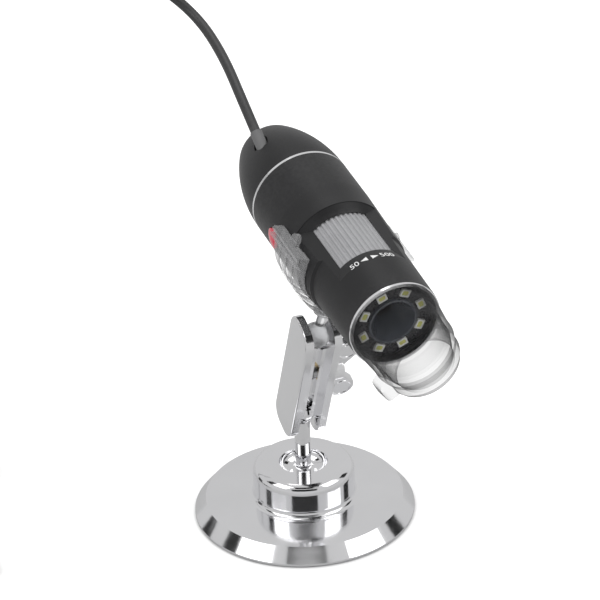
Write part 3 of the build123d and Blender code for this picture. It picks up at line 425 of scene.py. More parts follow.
@dataclass(frozen=True)
class Plated(Finish):
    """Bright plating over pressed or cast metal: a mirror with slight waves, wipe marks and hairlines."""

    waves: float = 90.0
    wave_depth: float = 0.00004
    veil: float = 0.05

    def dress(self, graph: Graph, shader: bpy.types.Node, where: object) -> object:
        """Args and Returns as in Finish."""
        wipes = EFFECTS.place(graph, Effect.HANDLING, Vector=where, Scale=70.0, Amount=1.0)
        lines = EFFECTS.place(
            graph, Effect.HAIRLINES, Vector=graph.stretched(where, (1.0, 6.0, 1.0)), Scale=700.0)
        dust = EFFECTS.place(graph, Effect.DUST, Vector=where, Scale=1500.0, Amount=0.25)
        tone = EFFECTS.place(graph, Effect.TONE, Vector=where, Scale=45.0, Color=rgba(self.color), Amount=0.03)
        dusty = graph.mix(dust.outputs["Mask"], tone.outputs["Color"], (0.5, 0.49, 0.47, 1.0))
        graph.wire(dusty, shader.inputs["Base Color"])
        shader.inputs["Metallic"].default_value = 1.0
        veil = graph.math("MULTIPLY_ADD", wipes.outputs["Mask"], self.veil, self.roughness)
        rough = graph.math("MULTIPLY_ADD", lines.outputs["Mask"], 0.02, veil)
        graph.wire(graph.math("MULTIPLY_ADD", dust.outputs["Mask"], 0.3, rough), shader.inputs["Roughness"])
        wave = graph.noise(where, self.waves, 1.0)
        height = graph.math("MULTIPLY_ADD", lines.outputs["Height"], 0.004, wave)
        self.bump(graph, shader, height, self.wave_depth, 0.5)
        return shader.outputs["BSDF"]


@dataclass(frozen=True)
class Turned(Finish):
    """Plain turned or zinc-plated metal with fine lines round it."""

    stretch: Point = (1.0, 12.0, 1.0)

    def dress(self, graph: Graph, shader: bpy.types.Node, where: object) -> object:
        """Args and Returns as in Finish."""
        lines = EFFECTS.place(graph, Effect.HAIRLINES, Vector=graph.stretched(where, self.stretch), Scale=1600.0)
        wear = EFFECTS.place(graph, Effect.WEAR, Vector=where, Scale=900.0, Amount=0.6)
        tone = EFFECTS.place(graph, Effect.TONE, Vector=where, Scale=200.0, Color=rgba(self.color), Amount=0.08)
        lighter = tuple(min(1.0, part * 1.25) for part in self.color)
        graph.wire(graph.mix(wear.outputs["Mask"], tone.outputs["Color"], rgba(lighter)), shader.inputs["Base Color"])
        shader.inputs["Metallic"].default_value = 1.0
        rough = graph.math("MULTIPLY_ADD", lines.outputs["Mask"], 0.15, self.roughness)
        graph.wire(rough, shader.inputs["Roughness"])
        self.bump(graph, shader, lines.outputs["Height"], 0.00002, 0.4)
        return shader.outputs["BSDF"]


@dataclass(frozen=True)
class Moulded(Finish):
    """Moulded plastic or rubber: fine grain, slow tone, rubbed edges, a little dust and an optional clear coat."""

    grain_scale: float = 4500.0
    grain_depth: float = 0.00002
    grain_strength: float = 0.35
    specular: float = 0.5
    wear: float = 0.25
    wear_color: tuple[float, float, float] = (0.12, 0.12, 0.12)
    dust: float = 0.5
    coat: float = 0.0
    sheen: float = 0.0

    def dress(self, graph: Graph, shader: bpy.types.Node, where: object) -> object:
        """Args and Returns as in Finish."""
        grain = EFFECTS.place(graph, Effect.GRAIN, Vector=where, Scale=self.grain_scale)
        marks = EFFECTS.place(graph, Effect.HANDLING, Vector=where, Scale=55.0, Amount=1.0)
        wear = EFFECTS.place(graph, Effect.WEAR, Vector=where, Scale=800.0, Amount=self.wear)
        dust = EFFECTS.place(graph, Effect.DUST, Vector=where, Scale=1300.0, Amount=self.dust)
        tone = EFFECTS.place(graph, Effect.TONE, Vector=where, Scale=70.0, Color=rgba(self.color), Amount=0.08)
        worn = graph.mix(wear.outputs["Mask"], tone.outputs["Color"], rgba(self.wear_color))
        graph.wire(graph.mix(dust.outputs["Mask"], worn, (0.4, 0.39, 0.37, 1.0)), shader.inputs["Base Color"])
        rough = graph.math("MULTIPLY_ADD", grain.outputs["Mask"], 0.06, self.roughness)
        graph.wire(graph.math("MULTIPLY_ADD", marks.outputs["Mask"], -0.07, rough), shader.inputs["Roughness"])
        shader.inputs["Specular IOR Level"].default_value = self.specular
        shader.inputs["Coat Weight"].default_value = self.coat
        shader.inputs["Coat Roughness"].default_value = 0.08
        shader.inputs["Sheen Weight"].default_value = self.sheen
        self.bump(graph, shader, grain.outputs["Height"], self.grain_depth, self.grain_strength)
        return shader.outputs["BSDF"]


@dataclass(frozen=True)
class Clear(Finish):
    """Clear moulded plastic: it lets light straight through, and its edges and slanting walls read grey and glossy.
    Both are painted: the cover's colour stands in for the highlights and outline of the edges, and the darkening of
    what shows through at grazing angles stands in for the dark edges that refraction gives.
    """

    waves: float = 120.0
    wave_depth: float = 0.00006
    body: float = 0.03
    edge: float = 0.75
    edge_power: float = 2.6
    tint: float = 0.97
    rim_painted_shade: float = 0.42
    shadow: float = 0.12

    def dress(self, graph: Graph, shader: bpy.types.Node, where: object) -> object:
        """Args and Returns as in Finish."""
        marks = EFFECTS.place(graph, Effect.HANDLING, Vector=where, Scale=90.0, Amount=1.0)
        dust = EFFECTS.place(graph, Effect.DUST, Vector=where, Scale=1600.0, Amount=0.3)
        tone = EFFECTS.place(graph, Effect.TONE, Vector=where, Scale=60.0, Color=rgba(self.color), Amount=0.04)
        graph.wire(tone.outputs["Color"], shader.inputs["Base Color"])
        rough = graph.math("MULTIPLY_ADD", marks.outputs["Mask"], 0.04, self.roughness)
        graph.wire(graph.math("MULTIPLY_ADD", dust.outputs["Mask"], 0.3, rough), shader.inputs["Roughness"])
        self.bump(graph, shader, graph.noise(where, self.waves, 2.0), self.wave_depth, 0.5)
        slant = graph.add("LayerWeight")
        slant.inputs["Blend"].default_value = 0.5
        graph.wire(shader.inputs["Normal"].links[0].from_socket, slant.inputs["Normal"])
        # Painted cover: slanting walls take the glossy shader in the finish's colour, in place of the highlights and
        # outline that reflection gives their edges.
        steep = graph.math("POWER", slant.outputs["Facing"], self.edge_power)
        cover = graph.math("MULTIPLY_ADD", steep, self.edge, self.body)
        cover = graph.math("MULTIPLY_ADD", dust.outputs["Mask"], 0.1, cover)
        ray = graph.add("LightPath")
        lit = graph.math("SUBTRACT", 1.0, ray.outputs["Is Shadow Ray"])
        passed = graph.add("BsdfTransparent")
        # Painted shade: what shows through is darkened at grazing angles, in place of the dark edges that refraction
        # gives.
        grazing = graph.math("POWER", slant.outputs["Facing"], 2.2)
        through = graph.mix(grazing, rgba([self.tint] * 3), rgba([self.rim_painted_shade] * 3))
        clear = graph.mix(ray.outputs["Is Shadow Ray"], through, rgba([1.0 - self.shadow] * 3))
        graph.wire(clear, passed.inputs["Color"])
        blend = graph.add("MixShader")
        graph.wire(graph.math("MULTIPLY", cover, lit), blend.inputs["Fac"])
        graph.wire(passed.outputs["BSDF"], blend.inputs[1])
        graph.wire(shader.outputs["BSDF"], blend.inputs[2])
        return blend.outputs["Shader"]


@dataclass(frozen=True)
class Glass(Finish):
    """Clear or frosted solid that bends the light, with handling marks and a pale shadow."""

    index: float = 1.49
    waves: float = 120.0
    wave_depth: float = 0.00006
    shadow: float = 0.12

    def dress(self, graph: Graph, shader: bpy.types.Node, where: object) -> object:
        """Args and Returns as in Finish."""
        marks = EFFECTS.place(graph, Effect.HANDLING, Vector=where, Scale=90.0, Amount=1.0)
        dust = EFFECTS.place(graph, Effect.DUST, Vector=where, Scale=1600.0, Amount=0.3)
        tone = EFFECTS.place(graph, Effect.TONE, Vector=where, Scale=60.0, Color=rgba(self.color), Amount=0.01)
        graph.wire(tone.outputs["Color"], shader.inputs["Base Color"])
        rough = graph.math("MULTIPLY_ADD", marks.outputs["Mask"], 0.04, self.roughness)
        graph.wire(graph.math("MULTIPLY_ADD", dust.outputs["Mask"], 0.3, rough), shader.inputs["Roughness"])
        shader.inputs["Transmission Weight"].default_value = 1.0
        shader.inputs["IOR"].default_value = self.index
        self.bump(graph, shader, graph.noise(where, self.waves, 2.0), self.wave_depth, 0.5)
        ray = graph.add("LightPath")
        passed = graph.add("BsdfTransparent")
        passed.inputs["Color"].default_value = rgba([1.0 - self.shadow] * 3)
        blend = graph.add("MixShader")
        graph.wire(ray.outputs["Is Shadow Ray"], blend.inputs["Fac"])
        graph.wire(shader.outputs["BSDF"], blend.inputs[1])
        graph.wire(passed.outputs["BSDF"], blend.inputs[2])
        return blend.outputs["Shader"]


@dataclass(frozen=True)
class Foam(Finish):
    """Dark closed-cell foam, with painted shade in the pits of its pores."""

    def dress(self, graph: Graph, shader: bpy.types.Node, where: object) -> object:
        """Args and Returns as in Finish."""
        cells = graph.add("TexVoronoi")
        graph.wire(where, cells.inputs["Vector"])
        cells.inputs["Scale"].default_value = 2600.0
        pores = graph.spread(cells.outputs["Distance"], 0.1, 0.5, 0.0, 1.0)
        tone = EFFECTS.place(graph, Effect.TONE, Vector=where, Scale=120.0, Color=rgba(self.color), Amount=0.12)
        # Painted shade: the pits of the pores are darkened to 0.4 of the foam's colour.
        pore_shade = tuple(part * 0.4 for part in self.color)
        graph.wire(graph.mix(pores, rgba(pore_shade), tone.outputs["Color"]), shader.inputs["Base Color"])
        graph.wire(graph.spread(pores, 0.0, 1.0, 0.95, self.roughness), shader.inputs["Roughness"])
        self.bump(graph, shader, pores, 0.00012, 0.7)
        return shader.outputs["BSDF"]


@dataclass(frozen=True)
class Board(Finish):
    """A printed circuit board: solder mask over copper tracks that show through it."""

    track: tuple[float, float, float] = (0.05, 0.26, 0.1)
    density: float = 420.0

    def dress(self, graph: Graph, shader: bpy.types.Node, where: object) -> object:
        """Args and Returns as in Finish."""
        cells = graph.add("TexVoronoi", distance="CHEBYCHEV", feature="F2")
        graph.wire(where, cells.inputs["Vector"])
        cells.inputs["Scale"].default_value = self.density
        tracks = graph.spread(graph.math("PINGPONG", cells.outputs["Distance"], 0.18), 0.07, 0.09, 0.0, 1.0)
        tone = EFFECTS.place(graph, Effect.TONE, Vector=where, Scale=160.0, Color=rgba(self.color), Amount=0.06)
        graph.wire(graph.mix(tracks, tone.outputs["Color"], rgba(self.track)), shader.inputs["Base Color"])
        graph.wire(graph.spread(tracks, 0.0, 1.0, self.roughness, self.roughness + 0.12), shader.inputs["Roughness"])
        self.bump(graph, shader, tracks, 0.00003, 0.5)
        return shader.outputs["BSDF"]


@dataclass(frozen=True)
class Lamp(Finish):
    """The yellow phosphor of an unlit lamp, grainy under its clear resin."""

    def dress(self, graph: Graph, shader: bpy.types.Node, where: object) -> object:
        """Args and Returns as in Finish."""
        grain = EFFECTS.place(graph, Effect.GRAIN, Vector=where, Scale=9000.0)
        tone = EFFECTS.place(graph, Effect.TONE, Vector=where, Scale=900.0, Color=rgba(self.color), Amount=0.12)
        graph.wire(tone.outputs["Color"], shader.inputs["Base Color"])
        graph.wire(graph.spread(grain.outputs["Mask"], 0.0, 1.0, 0.25, 0.4), shader.inputs["Roughness"])
        shader.inputs["Subsurface Weight"].default_value = 0.2
        shader.inputs["Subsurface Scale"].default_value = 0.0004
        shader.inputs["Coat Weight"].default_value = 0.6
        shader.inputs["Coat Roughness"].default_value = 0.06
        self.bump(graph, shader, grain.outputs["Height"], 0.00001, 0.4)
        return shader.outputs["BSDF"]


@dataclass(frozen=True)
class Ink(Finish):
    """Pale ink printed on the barrel, a little broken at its edges."""

    def dress(self, graph: Graph, shader: bpy.types.Node, where: object) -> object:
        """Args and Returns as in Finish."""
        grain = EFFECTS.place(graph, Effect.GRAIN, Vector=where, Scale=6000.0)
        thin = graph.spread(grain.outputs["Mask"], 0.0, 1.0, 0.0, 0.12)
        graph.wire(graph.mix(thin, rgba(self.color), (0.2, 0.2, 0.2, 1.0)), shader.inputs["Base Color"])
        graph.wire(graph.spread(grain.outputs["Mask"], 0.0, 1.0, 0.4, 0.55), shader.inputs["Roughness"])
        self.bump(graph, shader, grain.outputs["Height"], 0.00001, 0.3)
        return shader.outputs["BSDF"]


@dataclass(frozen=True)
class Woven(Finish):
    """A narrow woven band of dark hook and loop, its raised threads painted lighter as a highlight."""

    def dress(self, graph: Graph, shader: bpy.types.Node, where: object) -> object:
        """Args and Returns as in Finish."""
        first = graph.add("TexWave", bands_direction="DIAGONAL")
        graph.wire(where, first.inputs["Vector"])
        first.inputs["Scale"].default_value = 900.0
        first.inputs["Distortion"].default_value = 1.5
        second = graph.add("TexWave", bands_direction="Z")
        graph.wire(where, second.inputs["Vector"])
        second.inputs["Scale"].default_value = 1100.0
        weave = graph.math("MULTIPLY", first.outputs["Fac"], second.outputs["Fac"])
        tone = EFFECTS.place(graph, Effect.TONE, Vector=where, Scale=300.0, Color=rgba(self.color), Amount=0.1)
        # Painted highlight: the raised threads of the weave are lightened to 2.2 times the band's colour.
        lighter = tuple(part * 2.2 for part in self.color)
        graph.wire(graph.mix(weave, tone.outputs["Color"], rgba(lighter)), shader.inputs["Base Color"])
        graph.wire(graph.spread(weave, 0.0, 1.0, self.roughness, 0.7), shader.inputs["Roughness"])
        shader.inputs["Sheen Weight"].default_value = 0.4
        self.bump(graph, shader, weave, 0.0001, 0.6)
        return shader.outputs["BSDF"]


PLATED_BASE = Plated("plated_base", (0.87, 0.87, 0.885), 0.08)
PLATED_STEM = Plated("plated_stem", (0.87, 0.87, 0.88), 0.03, waves=160.0, wave_depth=0.00002)
PLATED_ARM = Plated("plated_arm", (0.86, 0.86, 0.87), 0.07, waves=110.0, wave_depth=0.00004, veil=0.09)
PLATED_KNOB = Plated("plated_knob", (0.87, 0.87, 0.88), 0.05, waves=180.0, wave_depth=0.00003)
BRIGHT_TRIM = Plated("bright_trim", (0.95, 0.95, 0.96), 0.12, waves=300.0, wave_depth=0.00001)
ZINC_STEEL = Turned("zinc_steel", (0.52, 0.52, 0.53), 0.28)
BRASS = Turned("turned_brass", (0.70, 0.52, 0.24), 0.25)
PLUG_METAL = Turned("nickel_shell", (0.66, 0.65, 0.63), 0.2, stretch=(8.0, 1.0, 1.0))
CAST_IRON = Moulded("cast_weight", (0.09, 0.09, 0.095), 0.6, grain_scale=1800.0, grain_depth=0.00008, dust=0.2)
SOFT_TOUCH = Moulded(
    "soft_touch_shell", (0.0105, 0.0105, 0.0115), 0.42, grain_scale=5200.0, grain_depth=0.00001,
    grain_strength=0.25, specular=0.32, wear=0.1, dust=0.12, sheen=0.04)
GREY_WHEEL = Moulded(
    "grey_wheel", (0.31, 0.31, 0.32), 0.34, grain_scale=3600.0, wear=0.08, wear_color=(0.6, 0.6, 0.6), dust=0.1)
GREY_RUBBER = Moulded("grey_gland", (0.13, 0.13, 0.132), 0.5, grain_scale=3000.0, dust=0.2)
DARK_GROOVE = Moulded("dark_groove", (0.012, 0.012, 0.012), 0.6, grain_scale=3000.0, dust=0.0)
INNER_BLACK = Moulded("inner_black", (0.012, 0.012, 0.013), 0.5, grain_scale=2600.0, dust=0.0)
ANODISED = Moulded("anodised_black", (0.02, 0.02, 0.022), 0.32, grain_scale=6000.0, dust=0.0)
# The black funnel is lifted to a blue grey, a painted reflection of the bluish highlights in its bowl.
DARK_FUNNEL_PAINTED_BLUE = Moulded(
    "dark_funnel_painted_blue_reflection", (0.045, 0.052, 0.065), 0.22, grain_scale=2400.0, grain_depth=0.00001, wear=0.1,
    dust=0.05, coat=0.5)
RED_CAP = Moulded(
    "red_cap", (0.62, 0.035, 0.07), 0.2, grain_scale=3000.0, grain_depth=0.000008, wear=0.15,
    wear_color=(0.8, 0.2, 0.2), dust=0.2, coat=0.7)
JACKET = Moulded("cable_jacket", (0.03, 0.03, 0.031), 0.38, grain_scale=1700.0, grain_depth=0.00003, dust=0.2)
PLUG_PLASTIC = Moulded("plug_moulding", (0.022, 0.022, 0.024), 0.42, grain_scale=2600.0, dust=0.3)
PALE_BLOCK = Moulded("pale_contact_block", (0.70, 0.71, 0.73), 0.35, grain_scale=2600.0, dust=0.1)
LAMP_FRAME = Moulded(
    "lamp_frame", (0.78, 0.78, 0.74), 0.3, grain_scale=6000.0, wear_color=(0.9, 0.9, 0.9), dust=0.0, coat=0.3)
SWITCH_BODY = Moulded("switch_body", (0.05, 0.05, 0.05), 0.35, grain_scale=3000.0, dust=0.0)
SENSOR_LID = Moulded("sensor_lid", (0.03, 0.03, 0.05), 0.08, grain_scale=900.0, grain_depth=0.000002, dust=0.0, coat=1.0)
# The hood's dark grey cover and black rim are a painted dark outline on its walls; the clip's pale cover is a painted
# highlight on its edges, and its rim is painted shade.
CLEAR_HOOD = Clear("clear_hood", (0.17, 0.17, 0.175), 0.04, edge=0.3, tint=0.93, rim_painted_shade=0.0)
CLEAR_CLIP = Clear(
    "clear_clip", (0.74, 0.74, 0.75), 0.05, waves=260.0, wave_depth=0.00016, body=0.10, edge=0.5,
    edge_power=2.4, tint=0.94, rim_painted_shade=0.2)
FROSTED_BALL = Glass("frosted_ball", (0.93, 0.935, 0.94), 0.32, waves=200.0, shadow=0.4)
LENS_GLASS = Glass("lens_glass", (0.93, 0.97, 0.96), 0.002, index=1.6, waves=30.0, wave_depth=0.000002)
FOAM = Foam("foam_pad", (0.035, 0.035, 0.037), 0.8)
BLACK_BOARD = Board("lamp_board", (0.012, 0.012, 0.013), 0.25, track=(0.03, 0.03, 0.033), density=520.0)
GREEN_BOARD = Board("green_board", (0.015, 0.13, 0.05), 0.28)
PHOSPHOR = Lamp("lamp_phosphor", (0.60, 0.60, 0.15), 0.3)
PALE_INK = Ink("pale_ink", (0.82, 0.82, 0.82), 0.45)
BAND = Woven("tie_band", (0.014, 0.014, 0.015), 0.85)




def dress_node(name: str, finish: Finish) -> bpy.types.Object:
    """Gives a carried-over solid its finish.

    Args:
        name: the solid's name.
        finish: its finish.

    Returns:
        The solid's object.
    """
    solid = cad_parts[name]
    solid.data.materials.clear()
    solid.data.materials.append(finish.material())
    LOG.info("%s: %s", name, finish.name)
    return solid


def piece(name: str, mesh: bmesh.types.BMesh, finishes: Sequence[Finish], body: Body,
          smooth: float = 35.0) -> bpy.types.Object:
    """Makes an object of a mesh that is written in the row's frame.

    Args:
        name: the piece's name.
        mesh: the mesh, which is freed.
        finishes: its finishes, in the order of its faces' material numbers.
        body: the body that it rides on.
        smooth: faces that meet at less than this many degrees are shaded smooth.

    Returns:
        The new object.
    """
    data = bpy.data.meshes.new(name)
    bmesh.ops.recalc_face_normals(mesh, faces=mesh.faces)
    for face in mesh.faces:
        face.smooth = True
    for edge in mesh.edges:
        if len(edge.link_faces) == 2 and edge.calc_face_angle(0.0) > math.radians(smooth):
            edge.smooth = False
    mesh.to_mesh(data)
    mesh.free()
    made = bpy.data.objects.new(name, data)
    bpy.context.scene.collection.objects.link(made)
    for finish in finishes:
        data.materials.append(finish.material())
    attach(made, body.value)
    LOG.info("%s: %d faces", name, len(data.polygons))
    return made


def turned(mesh: bmesh.types.BMesh, outline: Sequence[tuple[float, float]], place: Matrix, steps: int,
           closed: bool = True, number: int = 0) -> None:
    """Adds a solid turned about the X axis of a frame.

    Args:
        mesh: the mesh to add to.
        outline: (x, radius) points in millimetres.
        place: the frame.
        steps: faces round the axis.
        closed: whether the outline's last point joins its first.
        number: the faces' material number.
    """
    rings = []
    for step in range(steps):
        angle = 2 * math.pi * step / steps
        rings.append([
            mesh.verts.new(place @ Vector((x * MM, r * math.cos(angle) * MM, r * math.sin(angle) * MM)))
            for x, r in outline
        ])
    spans = len(outline) if closed else len(outline) - 1
    for step in range(steps):
        here, there = rings[step], rings[(step + 1) % steps]
        for i in range(spans):
            j = (i + 1) % len(outline)
            face = mesh.faces.new((here[i], here[j], there[j], there[i]))
            face.material_index = number


def rounded_block(mesh: bmesh.types.BMesh, size: Point, edge: float, place: Matrix, number: int = 0) -> None:
    """Adds a box with rounded edges.

    Args:
        mesh: the mesh to add to.
        size: its full lengths, in millimetres.
        edge: the radius of its edges, in millimetres.
        place: the frame of its centre.
        number: the faces' material number.
    """
    block = bmesh.new()
    bmesh.ops.create_cube(block, size=1.0)
    bmesh.ops.scale(block, vec=Vector(size) * MM, verts=block.verts)
    bmesh.ops.bevel(block, geom=list(block.edges), offset=edge * MM, segments=3, profile=0.5, affect="EDGES")
    bmesh.ops.transform(block, matrix=place, verts=block.verts)
    for face in block.faces:
        face.material_index = number
    data = bpy.data.meshes.new("block")
    block.to_mesh(data)
    block.free()
    mesh.from_mesh(data)
    bpy.data.meshes.remove(data)


def swept_loop(mesh: bmesh.types.BMesh, centre: Sequence[Vector], side: Vector, half_w: float, half_h: float,
               number: int = 0) -> None:
    """Adds a closed band with a lens-shaped section along a loop.

    Args:
        mesh: the mesh to add to.
        centre: the loop's points, in metres.
        side: the direction that the band's width lies in.
        half_w: half of its width, in metres.
        half_h: half of its height, in metres.
        number: the faces' material number.
    """
    rings = []
    count = len(centre)
    for i, point in enumerate(centre):
        along = (centre[(i + 1) % count] - centre[i - 1]).normalized()
        outward = along.cross(side).normalized()
        ring = []
        for step in range(8):
            angle = 2 * math.pi * step / 8
            ring.append(mesh.verts.new(point + side * half_w * math.cos(angle) + outward * half_h * math.sin(angle)))
        rings.append(ring)
    for i in range(count):
        here, there = rings[i], rings[(i + 1) % count]
        for step in range(8):
            after = (step + 1) % 8
            face = mesh.faces.new((here[step], here[after], there[after], there[step]))
            face.material_index = number




@dataclass
class Stand:
    """The weighted base, the post, the two balls, the clamp plates and the wing knob."""

    pad_r: float = 34.6
    pad_t: float = 1.2
    wing_reach: float = 9.6
    wing_y: float = 12.0
    wing_t: float = 3.0
    rim_r: float = 3.2
    rim_w: float = 0.32

    def dress(self) -> None:
        """Finishes the carried-over solids of the stand."""
        dress_node("base_cover", PLATED_BASE)
        dress_node("base_weight", CAST_IRON)
        dress_node("post", PLATED_STEM)
        dress_node("post_nut", ZINC_STEEL)
        dress_node("lower_ball", PLATED_STEM)
        dress_node("arm_plate_left", PLATED_ARM)
        dress_node("arm_plate_right", PLATED_ARM)
        dress_node("arm_insert", BRASS)
        dress_node("arm_washer", ZINC_STEEL)
        dress_node("wing_knob", PLATED_KNOB)
        dress_node("clamp_screw", ZINC_STEEL)
        dress_node("upper_ball", FROSTED_BALL)

    def pad(self) -> None:
        """Builds the foam pad with its softened edge."""
        mesh = bmesh.new()
        soft = 0.35
        outline = [
            (0.0, 0.0), (0.0, self.pad_r - soft), (soft * 0.3, self.pad_r - soft * 0.3), (soft, self.pad_r),
            (self.pad_t - soft, self.pad_r), (self.pad_t, self.pad_r - soft), (self.pad_t, 0.0),
        ]
        upright = Matrix.Rotation(math.radians(-90), 4, "Y")
        turned(mesh, outline, upright, 96, closed=False)
        bmesh.ops.remove_doubles(mesh, verts=mesh.verts, dist=1e-7)
        made = piece("foam_pad", mesh, [FOAM], Body.BASE)
        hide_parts("base_pad")

    def wing_rims(self) -> None:
        """Builds the raised outline on both faces of each wing."""
        mesh = bmesh.new()
        place = FRAMES.arm() @ Matrix.Translation((0, 0, FRAMES.arm_span / 2 * MM))
        for side in (-1, 1):
            for face in (-1, 1):
                loop = []
                for step in range(48):
                    angle = 2 * math.pi * step / 48
                    local = Vector((
                        face * self.wing_t / 2,
                        self.wing_y + self.rim_r * math.cos(angle),
                        side * self.wing_reach + self.rim_r * math.sin(angle),
                    ))
                    loop.append(place @ (local * MM))
                normal = (place.to_3x3() @ Vector((1, 0, 0))).normalized()
                swept_loop(mesh, loop, normal, self.rim_w * 0.7 * MM, self.rim_w * MM)
        piece("wing_rims", mesh, [PLATED_KNOB], Body.KNOB)

    def build(self) -> None:
        """Builds and dresses the stand."""
        self.dress()
        self.pad()
        self.wing_rims()




@dataclass
class LampRing:
    """The flat lamps on their board, each a pale frame round a phosphor pool."""

    count: int = 8
    ring_r: float = 10.0
    phase: float = 22.5
    board_x: float = 68.0
    width: float = 3.2
    height: float = 2.6
    depth: float = 0.8
    pool_margin: float = 0.55
    pool_depth: float = 0.25

    def lamp(self, mesh: bmesh.types.BMesh, place: Matrix) -> None:
        """Adds one lamp whose back is on a frame's YZ plane.

        Args:
            mesh: the mesh to add to.
            place: the frame, X outward.
        """
        half = (self.width / 2, self.height / 2)
        inner = (half[0] - self.pool_margin, half[1] - self.pool_margin)
        edge = 0.12
        sections = [
            (0.0, half[0], half[1], 0.1), (self.depth - edge, half[0], half[1], 0.1),
            (self.depth, half[0] - edge, half[1] - edge, 0.1), (self.depth, inner[0] + 0.1, inner[1] + 0.1, 0.45),
            (self.depth - self.pool_depth, inner[0], inner[1], 0.42),
        ]
        rings = []
        for x, half_w, half_h, corner in sections:
            ring = []
            for quarter in range(4):
                sign_w = 1 if quarter in (0, 3) else -1
                sign_h = 1 if quarter in (0, 1) else -1
                for step in range(4):
                    angle = math.radians(90 * quarter + 30 * step)
                    y = sign_w * (half_w - corner) + corner * math.cos(angle)
                    z = sign_h * (half_h - corner) + corner * math.sin(angle)
                    ring.append(mesh.verts.new(place @ (Vector((x, y, z)) * MM)))
            rings.append(ring)
        for here, there in zip(rings, rings[1:]):
            for i in range(16):
                j = (i + 1) % 16
                mesh.faces.new((here[i], here[j], there[j], there[i]))
        mesh.faces.new(rings[0])
        pool_x = self.depth - self.pool_depth * 0.55
        centre = mesh.verts.new(place @ (Vector((pool_x, 0, 0)) * MM))
        for i in range(16):
            face = mesh.faces.new((rings[-1][i], rings[-1][(i + 1) % 16], centre))
            face.material_index = 1

    def build(self) -> None:
        """Builds every lamp."""
        mesh = bmesh.new()
        for number in range(self.count):
            turn = Matrix.Rotation(math.radians(self.phase + number * 360 / self.count), 4, "X")
            seat = Matrix.Translation((self.board_x * MM, 0, self.ring_r * MM))
            self.lamp(mesh, FRAMES.barrel() @ turn @ seat)
        made = piece("lamp_ring", mesh, [LAMP_FRAME, PHOSPHOR], Body.BARREL)
        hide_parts("leds")


@dataclass
class DialMarks:
    """The printed numbers and arrowheads on the sloped band ahead of the focus wheel."""

    band_rear_x: float = 51.4
    band_rear_r: float = 14.2
    band_front_x: float = 57.0
    band_front_r: float = 15.25
    line_x: float = 56.35
    cap_height: float = 2.3
    proud: float = 0.035
    depth: float = 0.08
    words: tuple[tuple[str, float], ...] = (("50", 34.5), ("500", -4.5))
    arrows: tuple[tuple[float, int], ...] = ((15.5, -1), (1.5, 1))

    def on_band(self, across: float, up: float, proud: float) -> Vector:
        """Places a point of the print on the band.

        Args:
            across: degrees from the top, towards -Y.
            up: millimetres back from the printed line.
            proud: millimetres above the band.

        Returns:
            The point in the row's frame, in metres.
        """
        x = self.line_x - up
        share = (x - self.band_rear_x) / (self.band_front_x - self.band_rear_x)
        radius = self.band_rear_r + share * (self.band_front_r - self.band_rear_r) + proud
        angle = math.radians(across)
        return FRAMES.barrel() @ (Vector((x, -radius * math.sin(angle), radius * math.cos(angle))) * MM)

    def glyphs(self, text: str) -> bpy.types.Mesh:
        """Returns a mesh of a short text, one unit high, in the XY plane with its depth along Z."""
        curve = bpy.data.curves.new("print", "FONT")
        curve.body = text
        curve.size = 1.0
        curve.extrude = 0.5
        curve.resolution_u = 6
        holder = bpy.data.objects.new("print", curve)
        bpy.context.scene.collection.objects.link(holder)
        bpy.context.view_layer.update()
        flat = bpy.data.meshes.new_from_object(holder)
        bpy.data.objects.remove(holder)
        bpy.data.curves.remove(curve)
        return flat

    def wrap(self, mesh: bmesh.types.BMesh, flat: bpy.types.Mesh, start: float) -> None:
        """Wraps a flat print round the band.

        Args:
            mesh: the mesh to add to.
            flat: the flat print, one unit a capital's height and a half.
            start: degrees from the top where it starts.
        """
        scale = self.cap_height / 0.69
        first = len(mesh.verts)
        mesh.from_mesh(flat)
        mesh.verts.ensure_lookup_table()
        for vert in mesh.verts[first:]:
            angle = start - math.degrees(vert.co.x * scale / self.band_front_r)
            vert.co = self.on_band(angle, vert.co.y * scale, self.proud + vert.co.z * self.depth)
        bpy.data.meshes.remove(flat)

    def arrow(self, mesh: bmesh.types.BMesh, middle: float, way: int) -> None:
        """Adds an arrowhead.

        Args:
            mesh: the mesh to add to.
            middle: degrees from the top of its middle.
            way: +1 points towards +Y, -1 towards -Y.
        """
        half = math.degrees(self.cap_height * 0.5 / self.band_front_r)
        mid_up = self.cap_height / 2
        rise = self.cap_height * 0.46
        corners = ((middle - way * half, mid_up), (middle + way * half, mid_up + rise), (middle + way * half, mid_up - rise))
        low = [mesh.verts.new(self.on_band(a, u, self.proud - self.depth / 2)) for a, u in corners]
        high = [mesh.verts.new(self.on_band(a, u, self.proud + self.depth / 2)) for a, u in corners]
        mesh.faces.new(high)
        mesh.faces.new(low)
        for i in range(3):
            j = (i + 1) % 3
            mesh.faces.new((low[i], low[j], high[j], high[i]))

    def build(self) -> None:
        """Builds the printed marks."""
        mesh = bmesh.new()
        for text, start in self.words:
            self.wrap(mesh, self.glyphs(text), start)
        for middle, way in self.arrows:
            self.arrow(mesh, middle, way)
        piece("dial_marks", mesh, [PALE_INK], Body.BARREL)


